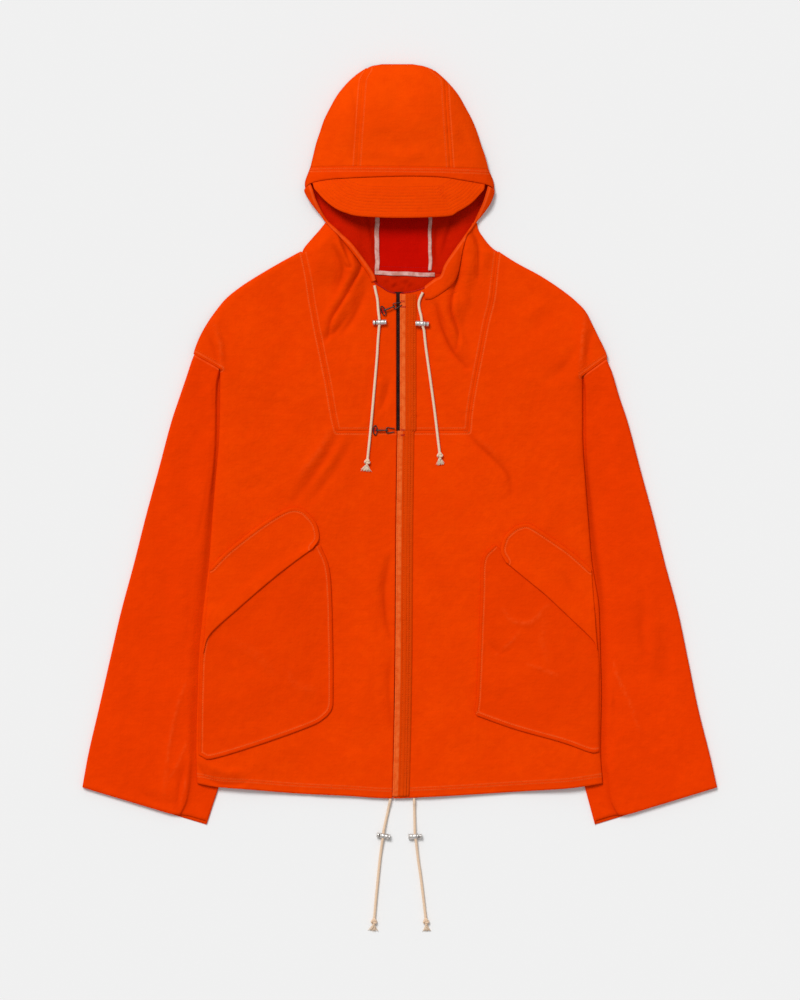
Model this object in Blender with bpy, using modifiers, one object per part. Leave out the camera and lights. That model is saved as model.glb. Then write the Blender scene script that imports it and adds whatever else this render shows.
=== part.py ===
"""A hooded raincoat jacket laid flat on its back, as its cut pieces, cords and clasps.

The work frame is millimetres: x across the jacket (the wearer's right side is at -x), y towards
the hood, z up from the surface it lies on. MM turns them into Blender's metres.
"""

import math
from collections import namedtuple
from itertools import product

import bmesh
import bpy
from mathutils import Matrix, Vector
from mathutils.bvhtree import BVHTree

MM = 0.001
UP = Vector((0.0, 0.0, 1.0))
SIDES = ("right", "left")
SIGN = {"right": -1.0, "left": 1.0}

# Cloth and how its layers lie.
CLOTH = 1.2
VISOR_CLOTH = 2.2
TAPE_CLOTH = 1.0
SEAM = 0.3
LAYER = 0.45
FRONT_LOFT = 3.0
FRONT_ROLL = 14.0
SLEEVE_FLAT = 3.6
SLEEVE_LIFT = SLEEVE_FLAT + LAYER
SLEEVE_RAMP = 90.0
SLEEVE_CLEAR = 14.0
SLEEVE_TOP_SLOPE = 0.27
HOOD_LIFT = 6.0
HOOD_RISE = 34.0
HOOD_TOP = 493.2
HOOD_CREST = 395.0
HOOD_HALF = 122.0
VISOR_DROP = 5.0
HEM_CLEAR = 4.4
HEM_LEAVES = 289.0
HEM_RISE = 44.0
NECK_SEAM = 222.0
NECK_HALF = 126.2
CHEST_SEAM = 17.5

# Trim.
CORD = 3.5
CORD_STEP = 10.0
BARREL_RADIUS = 3.5
BARREL_LENGTH = 13.0
BORE_RADIUS = 2.5
BORE_DEPTH = 8.5
STEM_RADIUS = 2.1
STEM_DEPTH = 6.5
NECK_LENGTH = 1.3
HEAD_RADIUS = 3.2
HEAD_LENGTH = 3.2
KNOT_RADIUS = 3.0
KNOT_LENGTH = 15.0
EYE_WIRE = 1.4
ROD = 2.2
LINK_WIRE = 1.3
TURN_STEPS = 12

Row = namedtuple("Row", "y right left")
Fold = namedtuple("Fold", "x0 y0 x1 y1 width height")
Station = namedtuple("Station", "share loft step")

# Half widths each side of the middle, one row a height.
HOOD_OUTLINE = (
    Row(HOOD_TOP, 24, 17),
    Row(490.6, 38, 31),
    Row(486, 47, 43),
    Row(479, 57, 52),
    Row(469, 68, 62.5),
    Row(453, 81, 75.5),
    Row(437, 90, 84.5),
    Row(422, 97.5, 92.5),
    Row(406, 103, 99),
    Row(391, 108, 104),
    Row(375, 112, 110),
    Row(359, 116, 114.5),
    Row(344, 121, 118.5),
    Row(328, 123.5, 122),
    Row(313, 114.5, 117),
    Row(297, 101.5, 105.5),
    Row(289, 96.2, 99),
    Row(281, 101.4, 100.2),
    Row(266, 114.4, 109.2),
    Row(253, 124.8, 121),
    Row(250, 126, 126),
)
SHOULDER = (
    Row(250, 128.7, 127.4),
    Row(235, 156, 151),
    Row(219, 183.3, 180.7),
    Row(203, 208, 205.4),
    Row(188, 226.2, 225),
    Row(172, 239.2, 240.5),
    Row(157, 249.6, 248.3),
    Row(141, 258.7, 256.1),
    Row(125, 265.2, 264),
    Row(118, 267.3, 267),
    Row(110, 270.4, 269.2),
    Row(94, 275.6, 275.6),
    Row(63, 286, 284.7),
    Row(32, 296.4, 295.1),
    Row(-31, 313.3, 312),
    Row(-93, 330.2, 328.9),
    Row(-155, 345.8, 344.5),
    Row(-218, 362.7, 361.4),
    Row(-280, 377, 374.4),
    Row(-343, 391.3, 387.4),
    Row(-405, 405.6, 403),
    Row(-445, 412.8, 412.1),
)
SLEEVE_SEAM = {
    "right": (Row(117.7, 267.3, None), Row(98.2, 232.7, None)),
    "left": (Row(112.5, None, 268.6), Row(89.0, None, 236.1)),
}
BODY_SIDE = (
    Row(98.2, 232.7, 234.9),
    Row(89, 232.8, 236.1),
    Row(15, 234, 236.1),
    Row(-49, 239.2, 239.9),
    Row(-103, 243.6, 244),
    Row(-150, 247, 247.9),
    Row(-215, 254.8, 257.6),
    Row(-268, 260, 259.2),
    Row(-323, 262.2, 260.3),
    Row(-396, 263.9, 259.2),
    Row(-440, 262.8, 262.2),
)
# Where the sleeve's full upper layer steps down to the strip that the body lies on.
SLEEVE_STEP = (
    Row(110, 234.5, 238),
    Row(60, 236.8, 238.8),
    Row(15, 237.4, 239),
    Row(-103, 246.6, 247),
    Row(-215, 257.8, 260.6),
    Row(-323, 265.2, 263.3),
    Row(-405, 267.6, 262.8),
    Row(-431, 269.8, 267.2),
    Row(-465, 275.3, 272.1),
    Row(-494, 289, 287),
)
SLEEVE_INNER = (Row(75, 108, 108), Row(-446.6, 236, 240.5), Row(-493.7, 251.4, 253.2))
CUFF_OUTER = Row(-445.2, 412.8, 411.8)
CHEST_SIDE = (
    Row(250, 126, 126),
    Row(220, 119.6, 122.6),
    Row(192, 115.6, 119.6),
    Row(159, 109.6, 111.8),
    Row(116, 100.9, 103.4),
    Row(79, 93.4, 96.2),
    Row(37, 86.2, 89.7),
    Row(CHEST_SEAM, 81.9, 88.4),
)
# The hood's opening and the neck edge, down to the middle of the chest.
OPENING = (
    Row(289, 93.4, 94.8),
    Row(281, 86, 91.4),
    Row(266, 69.8, 82),
    Row(253, 58.2, 72.4),
    Row(235, 45.4, 60.4),
    Row(220, 36, 53.4),
    Row(211, 32, 40.5),
    Row(204, 22, 31),
    Row(199, 14, 17),
    Row(196, 5.4, 0.4),
    Row(192, 5.2, 0.2),
    Row(CHEST_SEAM, 5.2, 0.2),
)
# Signed x of the binding's outer edge below the chest, and of the hem's lowest line.
Centre = namedtuple("Centre", "y x")
BINDING_EDGE = (
    Centre(CHEST_SEAM, -3.1),
    Centre(-114, -4.8),
    Centre(-280, -5.9),
    Centre(-445, -9.1),
    Centre(-460, -9.8),
)
Hem = namedtuple("Hem", "x y")
HEM = (
    Hem(-263, -440),
    Hem(-235, -445.2),
    Hem(-195, -448),
    Hem(-135, -453),
    Hem(-73, -456),
    Hem(-10, -459.5),
    Hem(31, -458),
    Hem(94, -454.5),
    Hem(156, -450.5),
    Hem(218, -446.5),
    Hem(263, -440),
)
BRIM_TOP = (Hem(-115.4, 360.4), Hem(-60, 360.2), Hem(0, 359.6), Hem(60, 358.8), Hem(113.8, 357.4))
CROWN_SEAM = (Row(486, 41, 42), Row(471, 48, 57.5), Row(440, 50.5, 59.5), Row(359, 56, 65))
SLEEVE_STATIONS = (
    Station(0.0, 9.6, 3),
    Station(0.04, 9.0, 7),
    Station(0.1, 7.9, 14),
    Station(0.18, 7.0, 14),
    Station(0.27, 6.5, 14),
    Station(0.37, 6.2, 14),
    Station(0.47, 6.1, 14),
    Station(0.57, 6.1, 14),
    Station(0.67, 6.1, 13),
    Station(0.77, 6.1, 11),
    Station(0.85, 6.2, 9),
    Station(0.915, 6.2, 6),
    Station(0.96, 6.2, 4),
    Station(1.0, 6.2, 3),
)
FOLDS = (
    Fold(-243, 168, -229, 92, 9, 2.4),
    Fold(239, 172, 231, 84, 9, 2.4),
    Fold(-56, 226, -92, 152, 11, 2.6),
    Fold(-83, 262, -66, 236, 9, 1.8),
    Fold(72, 246, 68, 182, 10, 2.4),
    Fold(68, 182, 76, 120, 11, 2.2),
    Fold(48, 186, 58, 138, 9, 1.6),
)
FOLD_TAPER = 24.0
SHOULDER_LEVELS = (249, 235, 219, 203, 188, 172, 157, 141, 128)
CHEST_LEVELS = (79, 58, 37, CHEST_SEAM)
BODY_LEVELS = (-27, -73, -119, -163, -208, -253, -298, -343, -380, -412, -440)
EDGE_STEPS = (0.0, 1.5, 5.0, FRONT_ROLL)
OUTER_CELLS = 5
INNER_CELLS = 4

CLOTH_COLOUR = (0.79, 0.05, 0.002)
INSIDE_COLOUR = (0.45, 0.008, 0.002)
BINDING_COLOUR = (0.84, 0.14, 0.03)
TAPE_COLOUR = (0.78, 0.55, 0.5)
CORD_COLOUR = (0.75, 0.52, 0.37)
METAL_COLOUR = (0.62, 0.6, 0.58)
DARK_METAL_COLOUR = (0.08, 0.06, 0.05)
ZIP_COLOUR = (0.04, 0.01, 0.01)


def clear_scene():
    for obj in list(bpy.data.objects):
        bpy.data.objects.remove(obj, do_unlink=True)


def make_collection(name):
    collection = bpy.data.collections.new(name)
    bpy.context.scene.collection.children.link(collection)
    return collection


def principled(name, colour, roughness, metallic=0.0):
    material = bpy.data.materials.new(name)
    material.use_nodes = True
    shader = material.node_tree.nodes["Principled BSDF"]
    shader.inputs["Base Color"].default_value = (*colour, 1.0)
    shader.inputs["Roughness"].default_value = roughness
    shader.inputs["Metallic"].default_value = metallic
    material.diffuse_color = (*colour, 1.0)
    return material


def ramp(value):
    """An even rise from 0 to 1, soft at both ends."""
    value = min(1.0, max(0.0, value))
    return value * value * (3.0 - 2.0 * value)


def roll(distance, reach):
    """A quarter round that rises from 0 at an edge to 1 at reach."""
    left = 1.0 - min(1.0, max(0.0, distance / reach))
    return math.sqrt(1.0 - left * left)


def read(keys, values, key):
    """The value at key on a smooth curve through (keys, values); keys run either way."""
    if keys[0] > keys[-1]:
        keys, values = keys[::-1], values[::-1]
    if key <= keys[0]:
        return values[0]
    if key >= keys[-1]:
        return values[-1]
    at = next(i for i in range(len(keys) - 1) if key <= keys[i + 1])
    span = keys[at + 1] - keys[at]
    slope = (values[at + 1] - values[at]) / span

    def tangent(i):
        if i in (0, len(keys) - 1):
            return slope
        before = (values[i] - values[i - 1]) / (keys[i] - keys[i - 1])
        after = (values[i + 1] - values[i]) / (keys[i + 1] - keys[i])
        if before * after <= 0.0:
            return 0.0
        return 2.0 * before * after / (before + after)

    t = (key - keys[at]) / span
    blend = t * t * (3.0 - 2.0 * t)
    ease_in = t * (1.0 - t) ** 2
    ease_out = t * t * (1.0 - t)
    value = values[at] * (1.0 - blend) + values[at + 1] * blend
    return value + span * (ease_in * tangent(at) - ease_out * tangent(at + 1))


def half_width(table, side, y):
    return read([row.y for row in table], [getattr(row, side) for row in table], y)


def signed(table, side, y):
    return SIGN[side] * half_width(table, side, y)


def binding_edge(y):
    return read([row.y for row in BINDING_EDGE], [row.x for row in BINDING_EDGE], y)


def hem_line(x):
    return read([row.x for row in HEM], [row.y for row in HEM], x)


def body_half(side, y):
    """Half width of the body: shoulder, then the sleeve's seam, then the side."""
    top, bottom = SLEEVE_SEAM[side]
    if y >= top.y:
        return half_width(SHOULDER, side, y)
    if y >= bottom.y:
        share = (top.y - y) / (top.y - bottom.y)
        return getattr(top, side) * (1 - share) + getattr(bottom, side) * share
    return half_width(BODY_SIDE, side, y)


def side_of(x):
    return "right" if x < 0.0 else "left"


def under(x, y):
    """Height of the underside of the lowest layer: it rises over the sleeves and in the hood."""
    side = side_of(x)
    across = abs(x)
    inner = half_width(SLEEVE_INNER, side, y)
    if y > SLEEVE_INNER[0].y:
        inner = SLEEVE_INNER[0].right
    sleeve_top = SLEEVE_INNER[0].y + SLEEVE_TOP_SLOPE * max(0.0, across - SLEEVE_INNER[0].right)
    over = ramp((across - inner + SLEEVE_RAMP + SLEEVE_CLEAR) / SLEEVE_RAMP)
    below = ramp((sleeve_top + SLEEVE_RAMP + SLEEVE_CLEAR - y) / SLEEVE_RAMP)
    opened = half_width(OPENING, side, y)
    rise = ramp((across - 46.0) / max(18.0, opened - 50.0))
    fall = ramp((half_width(HOOD_OUTLINE, side, y) - across) / 22.0)
    window = ramp((y - 200.0) / 40.0) * ramp((326.0 - y) / 40.0)
    return SLEEVE_LIFT * over * below + HOOD_LIFT * rise * fall * window


def fold_height(x, y):
    """Sum of the soft ridges at a place, each fading out at its ends."""
    total = 0.0
    for fold in FOLDS:
        run = Vector((fold.x1 - fold.x0, fold.y1 - fold.y0))
        place = Vector((x - fold.x0, y - fold.y0))
        along = place.dot(run) / run.length
        aside = abs(place.x * run.y - place.y * run.x) / run.length
        ends = ramp((along + FOLD_TAPER) / FOLD_TAPER) * ramp((run.length + FOLD_TAPER - along) / FOLD_TAPER)
        total += fold.height * math.exp(-((aside / fold.width) ** 2)) * ends
    return total


def outer_fold(side, y):
    """Half width of the fold that the upper layer rolls down to."""
    if y > 250.0:
        return half_width(HOOD_OUTLINE, side, y)
    if y >= SLEEVE_SEAM[side][1].y:
        return half_width(SHOULDER, side, y)
    return half_width(BODY_SIDE, side, y)


def front_under(x, y):
    """Height of the underside of the fronts and of the chest and hood sides."""
    side = side_of(x)
    inside = roll(outer_fold(side, y) - abs(x), FRONT_ROLL)
    return under(x, y) + CLOTH + LAYER + (FRONT_LOFT + fold_height(x, y)) * inside


def arch(x, y):
    """Height of the underside of the hood's upper half."""
    side = side_of(x)
    half = half_width(HOOD_OUTLINE, side, y) if y > 328.0 else HOOD_HALF
    across = min(1.0, abs(x) / half)
    back = max(0.0, (y - HOOD_CREST) / (HOOD_TOP - HOOD_CREST))
    crest = math.sqrt(max(0.0, 1.0 - back * back)) * HOOD_RISE
    drop = VISOR_DROP * ramp((348.0 - y) / 56.0)
    return CLOTH + LAYER + (crest - drop) * math.sqrt(max(0.0, 1.0 - across * across))


def add_object(name, mesh, material, parts):
    mesh.materials.append(material)
    obj = bpy.data.objects.new(name, mesh)
    parts.objects.link(obj)
    return obj


def sheet(name, rows, thickness, material, parts):
    """Cloth: a grid of points on its underside, None where there is no cloth, made a wall."""
    shape = bmesh.new()
    grid = [[point and shape.verts.new(Vector(point) * MM) for point in row] for row in rows]
    for upper, lower in zip(grid, grid[1:]):
        for quad in zip(upper, upper[1:], lower[1:], lower):
            if all(quad):
                shape.faces.new(quad)
    loose = [vert for vert in shape.verts if not vert.link_faces]
    bmesh.ops.delete(shape, geom=loose, context="VERTS")
    shape.normal_update()
    if sum(face.normal.z * face.calc_area() for face in shape.faces) < 0.0:
        bmesh.ops.reverse_faces(shape, faces=shape.faces[:])
    mesh = bpy.data.meshes.new(name)
    shape.to_mesh(mesh)
    shape.free()
    obj = add_object(name, mesh, material, parts)
    wall = obj.modifiers.new("wall", "SOLIDIFY")
    wall.thickness = thickness * MM
    wall.offset = 1.0
    wall.use_even_offset = True
    return obj


def spread(start, end, cells):
    return [start + (end - start) * i / cells for i in range(cells + 1)]


def edge_columns(width, cells):
    """Distances in from an edge: close together on its roll, then even."""
    reach = EDGE_STEPS[-1] + cells * 4.0
    scale = min(1.0, width / reach)
    steps = [step * scale for step in EDGE_STEPS]
    return steps + spread(steps[-1], width, cells)[1:]


def along(points, share):
    """The place at a share of the way along a chain of points."""
    points = [Vector(point) for point in points]
    lengths = [(b - a).length for a, b in zip(points, points[1:])]
    left = share * sum(lengths)
    for a, b, length in zip(points, points[1:], lengths):
        if left <= length:
            return a.lerp(b, left / length)
        left -= length
    return points[-1]


def patch(bottom, top, left, right, across, up):
    """A grid of plan points filled in between four edges that share their corners."""
    corners = [Vector(chain[end]) for chain in (bottom, top) for end in (0, -1)]
    rows = []
    for j in range(up + 1):
        t = j / up
        row = []
        for i in range(across + 1):
            s = i / across
            span = along(bottom, s) * (1 - t) + along(top, s) * t
            rise = along(left, t) * (1 - s) + along(right, t) * s
            ends = (corners[0] * (1 - s) + corners[1] * s) * (1 - t)
            ends += (corners[2] * (1 - s) + corners[3] * s) * t
            row.append(span + rise - ends)
        rows.append(row)
    return rows


def at_height(rows, height):
    return [[(p.x, p.y, height(p.x, p.y)) for p in row] for row in rows]


class Surface:
    """The upper surface of finished objects, for what lies on them."""

    def __init__(self, objects):
        bpy.context.view_layer.update()
        graph = bpy.context.evaluated_depsgraph_get()
        self.trees = [BVHTree.FromObject(obj, graph) for obj in objects]

    def top(self, x, y, reach=0.0):
        """The highest point within reach of a place."""
        best = 0.0
        steps = (-1, -0.5, 0, 0.5, 1) if reach else (0,)
        for tree in self.trees:
            for dx, dy in product(steps, steps):
                start = Vector((x + dx * reach, y + dy * reach, 500.0)) * MM
                hit = tree.ray_cast(start, -UP)[0]
                if hit is not None:
                    best = max(best, hit.z / MM)
        return best


def make_back(parts, cloth):
    """The back, flat on the surface between the sleeves, with its two shoulder corners."""
    levels = [NECK_SEAM - SEAM / 2, 196, 172, 150, 132]
    levels += [row.y for pair in zip(*SLEEVE_SEAM.values()) for row in pair]
    levels += [50, 0, -60, -130, -200, -270, -340, -395, -438]
    rows = []
    for y in [249.5, 235.0, *levels]:
        halves = {}
        for side in SIDES:
            edge = body_half(side, y) - SEAM
            if y > NECK_SEAM:
                columns = spread(edge, NECK_HALF + 2 * SEAM, 4)
            else:
                columns = spread(edge, min(NECK_HALF + 2 * SEAM, edge * 0.75), 4)
            halves[side] = columns
        middle = [None] * 4
        if y < NECK_SEAM:
            start, end = -halves["right"][-1], halves["left"][-1]
            middle = spread(start, end, 5)[1:-1]
        xs = [-value for value in halves["right"]] + middle + halves["left"][::-1]
        drop = ramp((-340.0 - y) / 98.0)
        row = []
        for x in xs:
            if x is None:
                row.append(None)
                continue
            low = y + drop * (hem_line(x) + 440.0)
            row.append((x, low, under(x, y)))
        rows.append(row)
    return sheet("back_panel", rows, CLOTH, cloth, parts)


def make_front(side, parts, cloth):
    """One front: shoulder, chest seam, middle edge, hem and side."""
    sign = SIGN[side]
    seam = [row.y for row in SLEEVE_SEAM[side]]
    levels = [*SHOULDER_LEVELS, seam[0], sum(seam) / 2, seam[1], *CHEST_LEVELS, *BODY_LEVELS]
    rows = []
    for y in levels:
        edge = body_half(side, y)
        if y > CHEST_SEAM:
            turn = half_width(CHEST_SIDE, side, y) + SEAM
        else:
            turn = half_width(CHEST_SIDE, side, CHEST_SEAM) + SEAM
        xs = [sign * (edge - step) for step in edge_columns(edge - turn, OUTER_CELLS)]
        if y <= CHEST_SEAM:
            middle = binding_edge(y) + 0.1 if side == "left" else binding_edge(y) - 1.2
            xs += spread(sign * turn, middle, INNER_CELLS)[1:]
        else:
            xs += [None] * INNER_CELLS
        drop = ramp((-340.0 - y) / 100.0)
        top = -SEAM if y == CHEST_SEAM else 0.0
        row = []
        for count, x in enumerate(xs):
            if x is None:
                row.append(None)
                continue
            low = y + drop * (hem_line(x) + 440.0)
            if count >= len(xs) - INNER_CELLS - 1:
                low += top
            row.append((x, low, front_under(x, y)))
        rows.append(row)
    return sheet(f"front_{side}", rows, CLOTH, cloth, parts)


def make_chest(side, parts, cloth):
    """The hood's side as it runs on down into the chest, with no seam at the neck."""
    sign = SIGN[side]
    seam = [row.y for row in SLEEVE_SEAM[side]]
    levels = [287, 281, 273, 266, 259, 249, 242, 235, 227, 219, 211, 203, 199, 196, 188]
    levels += [172, 157, 141, 128, seam[0], sum(seam) / 2, seam[1], *CHEST_LEVELS]
    rows = []
    for y in levels:
        edge = half_width(HOOD_OUTLINE if y > 250 else CHEST_SIDE, side, y)
        inner = half_width(OPENING, side, y)
        xs = spread(edge, inner, 8)
        if y > 250:
            xs = [edge - step for step in edge_columns(edge - inner, 5)]
        rows.append([(sign * x, y, front_under(sign * x, y)) for x in xs])
    return sheet(f"chest_{side}", rows, CLOTH, cloth, parts)


def make_sleeve(side, parts, cloth):
    """A flattened tube of rings from the armhole to the cuff, stepped down under the body."""
    sign = SIGN[side]
    top, bottom = SLEEVE_SEAM[side]
    rings = []
    for station in SLEEVE_STATIONS:
        share = station.share
        outer_y = (top.y - SEAM) * (1 - share) + CUFF_OUTER.y * share
        inner_y = SLEEVE_INNER[0].y * (1 - share) + SLEEVE_INNER[-1].y * share
        outer = Vector((sign * half_width(SHOULDER, side, outer_y), outer_y))
        if inner_y > SLEEVE_INNER[1].y:
            run = (SLEEVE_INNER[0].y - inner_y) / (SLEEVE_INNER[0].y - SLEEVE_INNER[1].y)
            first, last = SLEEVE_INNER[0], SLEEVE_INNER[1]
        else:
            run = (SLEEVE_INNER[1].y - inner_y) / (SLEEVE_INNER[1].y - SLEEVE_INNER[2].y)
            first, last = SLEEVE_INNER[1], SLEEVE_INNER[2]
        reach = getattr(first, side) * (1 - run) + getattr(last, side) * run
        inner = Vector((sign * reach, inner_y))
        rings.append((station, outer, inner))
    surface = []
    for station, outer, inner in rings:
        length = (inner - outer).length
        towards = (inner - outer).normalized()
        crossing = 60.0
        for _ in range(8):
            place = outer + towards * crossing
            wanted = signed(SLEEVE_STEP, side, place.y)
            crossing += (wanted - place.x) / towards.x
        crossing = max(crossing, station.step + station.loft)
        tall = station.loft / 2
        flat = SLEEVE_FLAT / 2
        lean = math.sqrt(0.5)
        end = crossing - station.step
        middle = [(tall + (end - tall) * i / 4, 2 * tall) for i in range(1, 4)]
        profile = [(0.0, tall), (tall * (1 - lean), tall * (1 + lean)), (tall, 2 * tall), *middle]
        profile += [(end, 2 * tall), (end + station.step * 0.5, tall + flat), (crossing, 2 * flat)]
        profile += [((crossing + length) / 2, 2 * flat), (length - flat, 2 * flat)]
        upper_count = len(profile)
        profile += [(length - flat * (1 - lean), flat * (1 + lean)), (length, flat)]
        profile += [(length - flat * (1 - lean), flat * (1 - lean)), (length - flat, 0.0)]
        profile += [((crossing + length) / 2, 0.0), (crossing, 0.0), (end, 0.0), ((tall + end) / 2, 0.0)]
        profile += [(tall, 0.0), (tall * (1 - lean), tall * (1 - lean))]
        ring = []
        for count, (distance, height) in enumerate(profile):
            place = outer + towards * distance
            if station.share == 0.0 and abs(place.x) > getattr(bottom, side):
                share = (abs(place.x) - getattr(bottom, side)) / (getattr(top, side) - getattr(bottom, side))
                place.y = min(place.y, bottom.y + (top.y - bottom.y) * share - SEAM * 3)
            if station.share == 1.0 and count < upper_count + 1:
                short = 5.0 * ramp((distance - crossing + 20.0) / (length - crossing))
                place += Vector((0.0, short))
            ring.append(Vector((place.x, place.y, height)) * MM)
        surface.append(ring)
    shape = bmesh.new()
    grid = [[shape.verts.new(point) for point in ring] for ring in surface]
    count = len(grid[0])
    for upper, lower in zip(grid, grid[1:]):
        for i in range(count):
            j = (i + 1) % count
            shape.faces.new((upper[i], upper[j], lower[j], lower[i]))
    shape.normal_update()
    first = max(shape.faces, key=lambda face: face.calc_center_median().z)
    if first.normal.z < 0.0:
        bmesh.ops.reverse_faces(shape, faces=shape.faces[:])
    mesh = bpy.data.meshes.new(f"sleeve_{side}")
    shape.to_mesh(mesh)
    shape.free()
    mesh.shade_smooth()
    obj = add_object(f"sleeve_{side}", mesh, cloth, parts)
    wall = obj.modifiers.new("wall", "SOLIDIFY")
    wall.thickness = CLOTH * MM
    wall.offset = -1.0
    wall.use_even_offset = True
    return obj


def make_hood_back(parts, inside):
    """The hood's lower layer, in its three panels."""
    levels = [222.15, 236, 249.9, 262, 275, 289, 301, 314, 328, 360, 398, 432, 460, 485]
    seam = {"right": -29.9, "left": 38.9}
    pieces = []
    for side in SIDES:
        sign = SIGN[side]
        rows = []
        for y in levels:
            edge = NECK_HALF if y < 250 else half_width(HOOD_OUTLINE, side, y) - 0.6
            start = seam[side] + sign * SEAM / 2
            if abs(start) > edge - 4.0:
                start = sign * (edge - 4.0)
            xs = spread(start, sign * edge, 5)
            rows.append([(x, y, under(x, y)) for x in xs])
        pieces.append(sheet(f"hood_back_side_{side}", rows, CLOTH, inside, parts))
    rows = []
    for y in (222.15, 250, 289, 328, 375, 437, 469, 484):
        xs = spread(seam["right"] + SEAM / 2, seam["left"] - SEAM / 2, 4)
        rows.append([(x, y, under(x, y)) for x in xs])
    pieces.append(sheet("hood_back_centre", rows, CLOTH, inside, parts))
    return pieces


def arch_row(side, y, start, end, cells):
    """Points across the hood's arch between two half widths, even in angle."""
    half = half_width(HOOD_OUTLINE, side, y)
    angles = spread(math.asin(min(1.0, start / half)), math.asin(min(1.0, end / half)), cells)
    xs = [SIGN[side] * half * math.sin(angle) for angle in angles]
    return [(x, y, arch(x, y)) for x in xs]


def to_brim(row):
    """The same row, moved to lie along the brim's upper seam."""
    xs = [point[0] for point in row]
    ys = [read([end.x for end in BRIM_TOP], [end.y for end in BRIM_TOP], x) + SEAM for x in xs]
    return [(x, y, arch(x, y)) for x, y in zip(xs, ys)]


def make_crown(parts, cloth):
    """The hood's upper half: two side panels and the middle one, over the hollow."""
    levels = (484, 478, 469, 457, 443, 427, 410, 392, 375, 361.2)
    for side in SIDES:
        rows = []
        for y in levels if side == "left" else (488, *levels):
            seam = half_width(CROWN_SEAM, side, y) + SEAM / 2
            rows.append(arch_row(side, y, half_width(HOOD_OUTLINE, side, y), seam, 6))
        rows[-1] = to_brim(rows[-1])
        sheet(f"crown_side_{side}", rows, CLOTH, cloth, parts)
    rows = []
    for y in (HOOD_TOP, 489.5, *levels):
        row = []
        for side in SIDES:
            seam = half_width(CROWN_SEAM, side, y) - SEAM / 2
            reach = min(seam, half_width(HOOD_OUTLINE, side, y) - 0.5)
            half = arch_row(side, y, reach, 0.0, 3)
            row += half if side == "right" else half[-2::-1]
        rows.append(row)
    rows[-1] = to_brim(rows[-1])
    sheet("crown_centre", rows, CLOTH, cloth, parts)


def make_brim(parts, cloth):
    """The band across the hood's edge, and the stiff visor sewn under it."""
    upper = [tuple(end) for end in BRIM_TOP]
    lower = [(-122.4, 333.6), (-116, 339), (-102.7, 342.6), (-76, 345.2), (0, 347.8)]
    lower += [(50.7, 347), (81.9, 342.9), (111.8, 337.6), (121.4, 332)]
    left = [lower[0], (-122.2, 342), upper[0]]
    right = [lower[-1], (120.3, 342), upper[-1]]
    rows = patch(lower, upper, left, right, 20, 2)
    sheet("brim_band", at_height(rows, arch), CLOTH, cloth, parts)
    top = [(-112.6, 339.6), (-102.7, 342.1), (-76, 344.7), (0, 347.3), (50.7, 346.5)]
    top += [(81.9, 342.4), (109.4, 337.8)]
    edge = [(-110.4, 332.4), (-96.9, 317.3), (-83.6, 306.9), (-70.2, 300.9), (-51.2, 296.3)]
    edge += [(0, 294.2), (59.8, 296.3), (74.1, 302.2), (92.3, 313.9), (108, 331)]
    rows = patch(edge, top, [edge[0], top[0]], [edge[-1], top[-1]], 20, 3)
    sheet("visor", at_height(rows, arch), VISOR_CLOTH, cloth, parts)


def make_opening_hem(side, chest, parts, cloth):
    """The narrow hem round the hood's opening, from the brim down to the neck."""
    if side == "right":
        outer = [(-122.2, 332.8), (-123.3, 328), (-114.6, 313), (-101.6, 297), (-96.6, 290)]
        outer += [(-87.8, 280), (-78.2, 270.4), (-63.9, 252.9), (-50.3, 234.5), (-40, 220.2)]
        outer += [(-36.8, 211)]
        inner = [(-116.2, 338), (-113.8, 332), (-109.4, 318), (-101, 300), (-94.1, 289.5)]
        inner += [(-85.4, 281.6), (-75, 272), (-63.9, 261.7), (-49.5, 243.4), (-35.2, 222.7)]
        inner += [(-31.9, 213.5)]
    else:
        outer = [(121.2, 331.2), (122, 327), (117, 313), (105.5, 297), (99.2, 289.5)]
        outer += [(88.9, 275.2), (84.5, 268), (80.1, 248.1), (75.4, 224.3), (71.4, 213.9)]
        outer += [(65.8, 206.7), (53.9, 197.2), (41.9, 190), (32.6, 189.2)]
        inner = [(114.2, 335.3), (113, 330), (108, 314), (101, 298), (97.2, 288.8)]
        inner += [(92.1, 281.6), (81.7, 267.2), (72.9, 255.3), (58.6, 233.8), (53.1, 219.5)]
        inner += [(45.9, 215.5), (37.9, 209.9), (32.4, 205.5)]
    chest_surface = Surface([chest])
    rows = []
    for line in patch(outer, inner, [outer[0], inner[0]], [outer[-1], inner[-1]], 22, 2):
        heights = []
        for x, y in line:
            share = ramp((y - HEM_LEAVES) / HEM_RISE)
            above = chest_surface.top(x, y, 5.0) + LAYER if y < HEM_LEAVES + 1.0 else 0.0
            heights.append(max(HEM_CLEAR * (1 - share) + arch(x, y) * share, above))
        for _ in range(6):
            means = [(a + b) / 2 for a, b in zip(heights, heights[2:])]
            heights[1:-1] = [max(pair) for pair in zip(heights[1:-1], means)]
        rows.append([(x, y, height) for (x, y), height in zip(line, heights)])
    sheet(f"opening_hem_{side}", rows, CLOTH, cloth, parts)


def strip(name, surface, edges, levels, cells, thickness, material, parts, clear=LAYER):
    """A long strip that lies on a surface; edges gives its two x at a height."""
    rows = []
    for y in levels:
        start, end = edges(y)
        rows.append([(x, y, surface.top(x, y, 1.0) + clear) for x in spread(start, end, cells)])
    return sheet(name, rows, thickness, material, parts)


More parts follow.
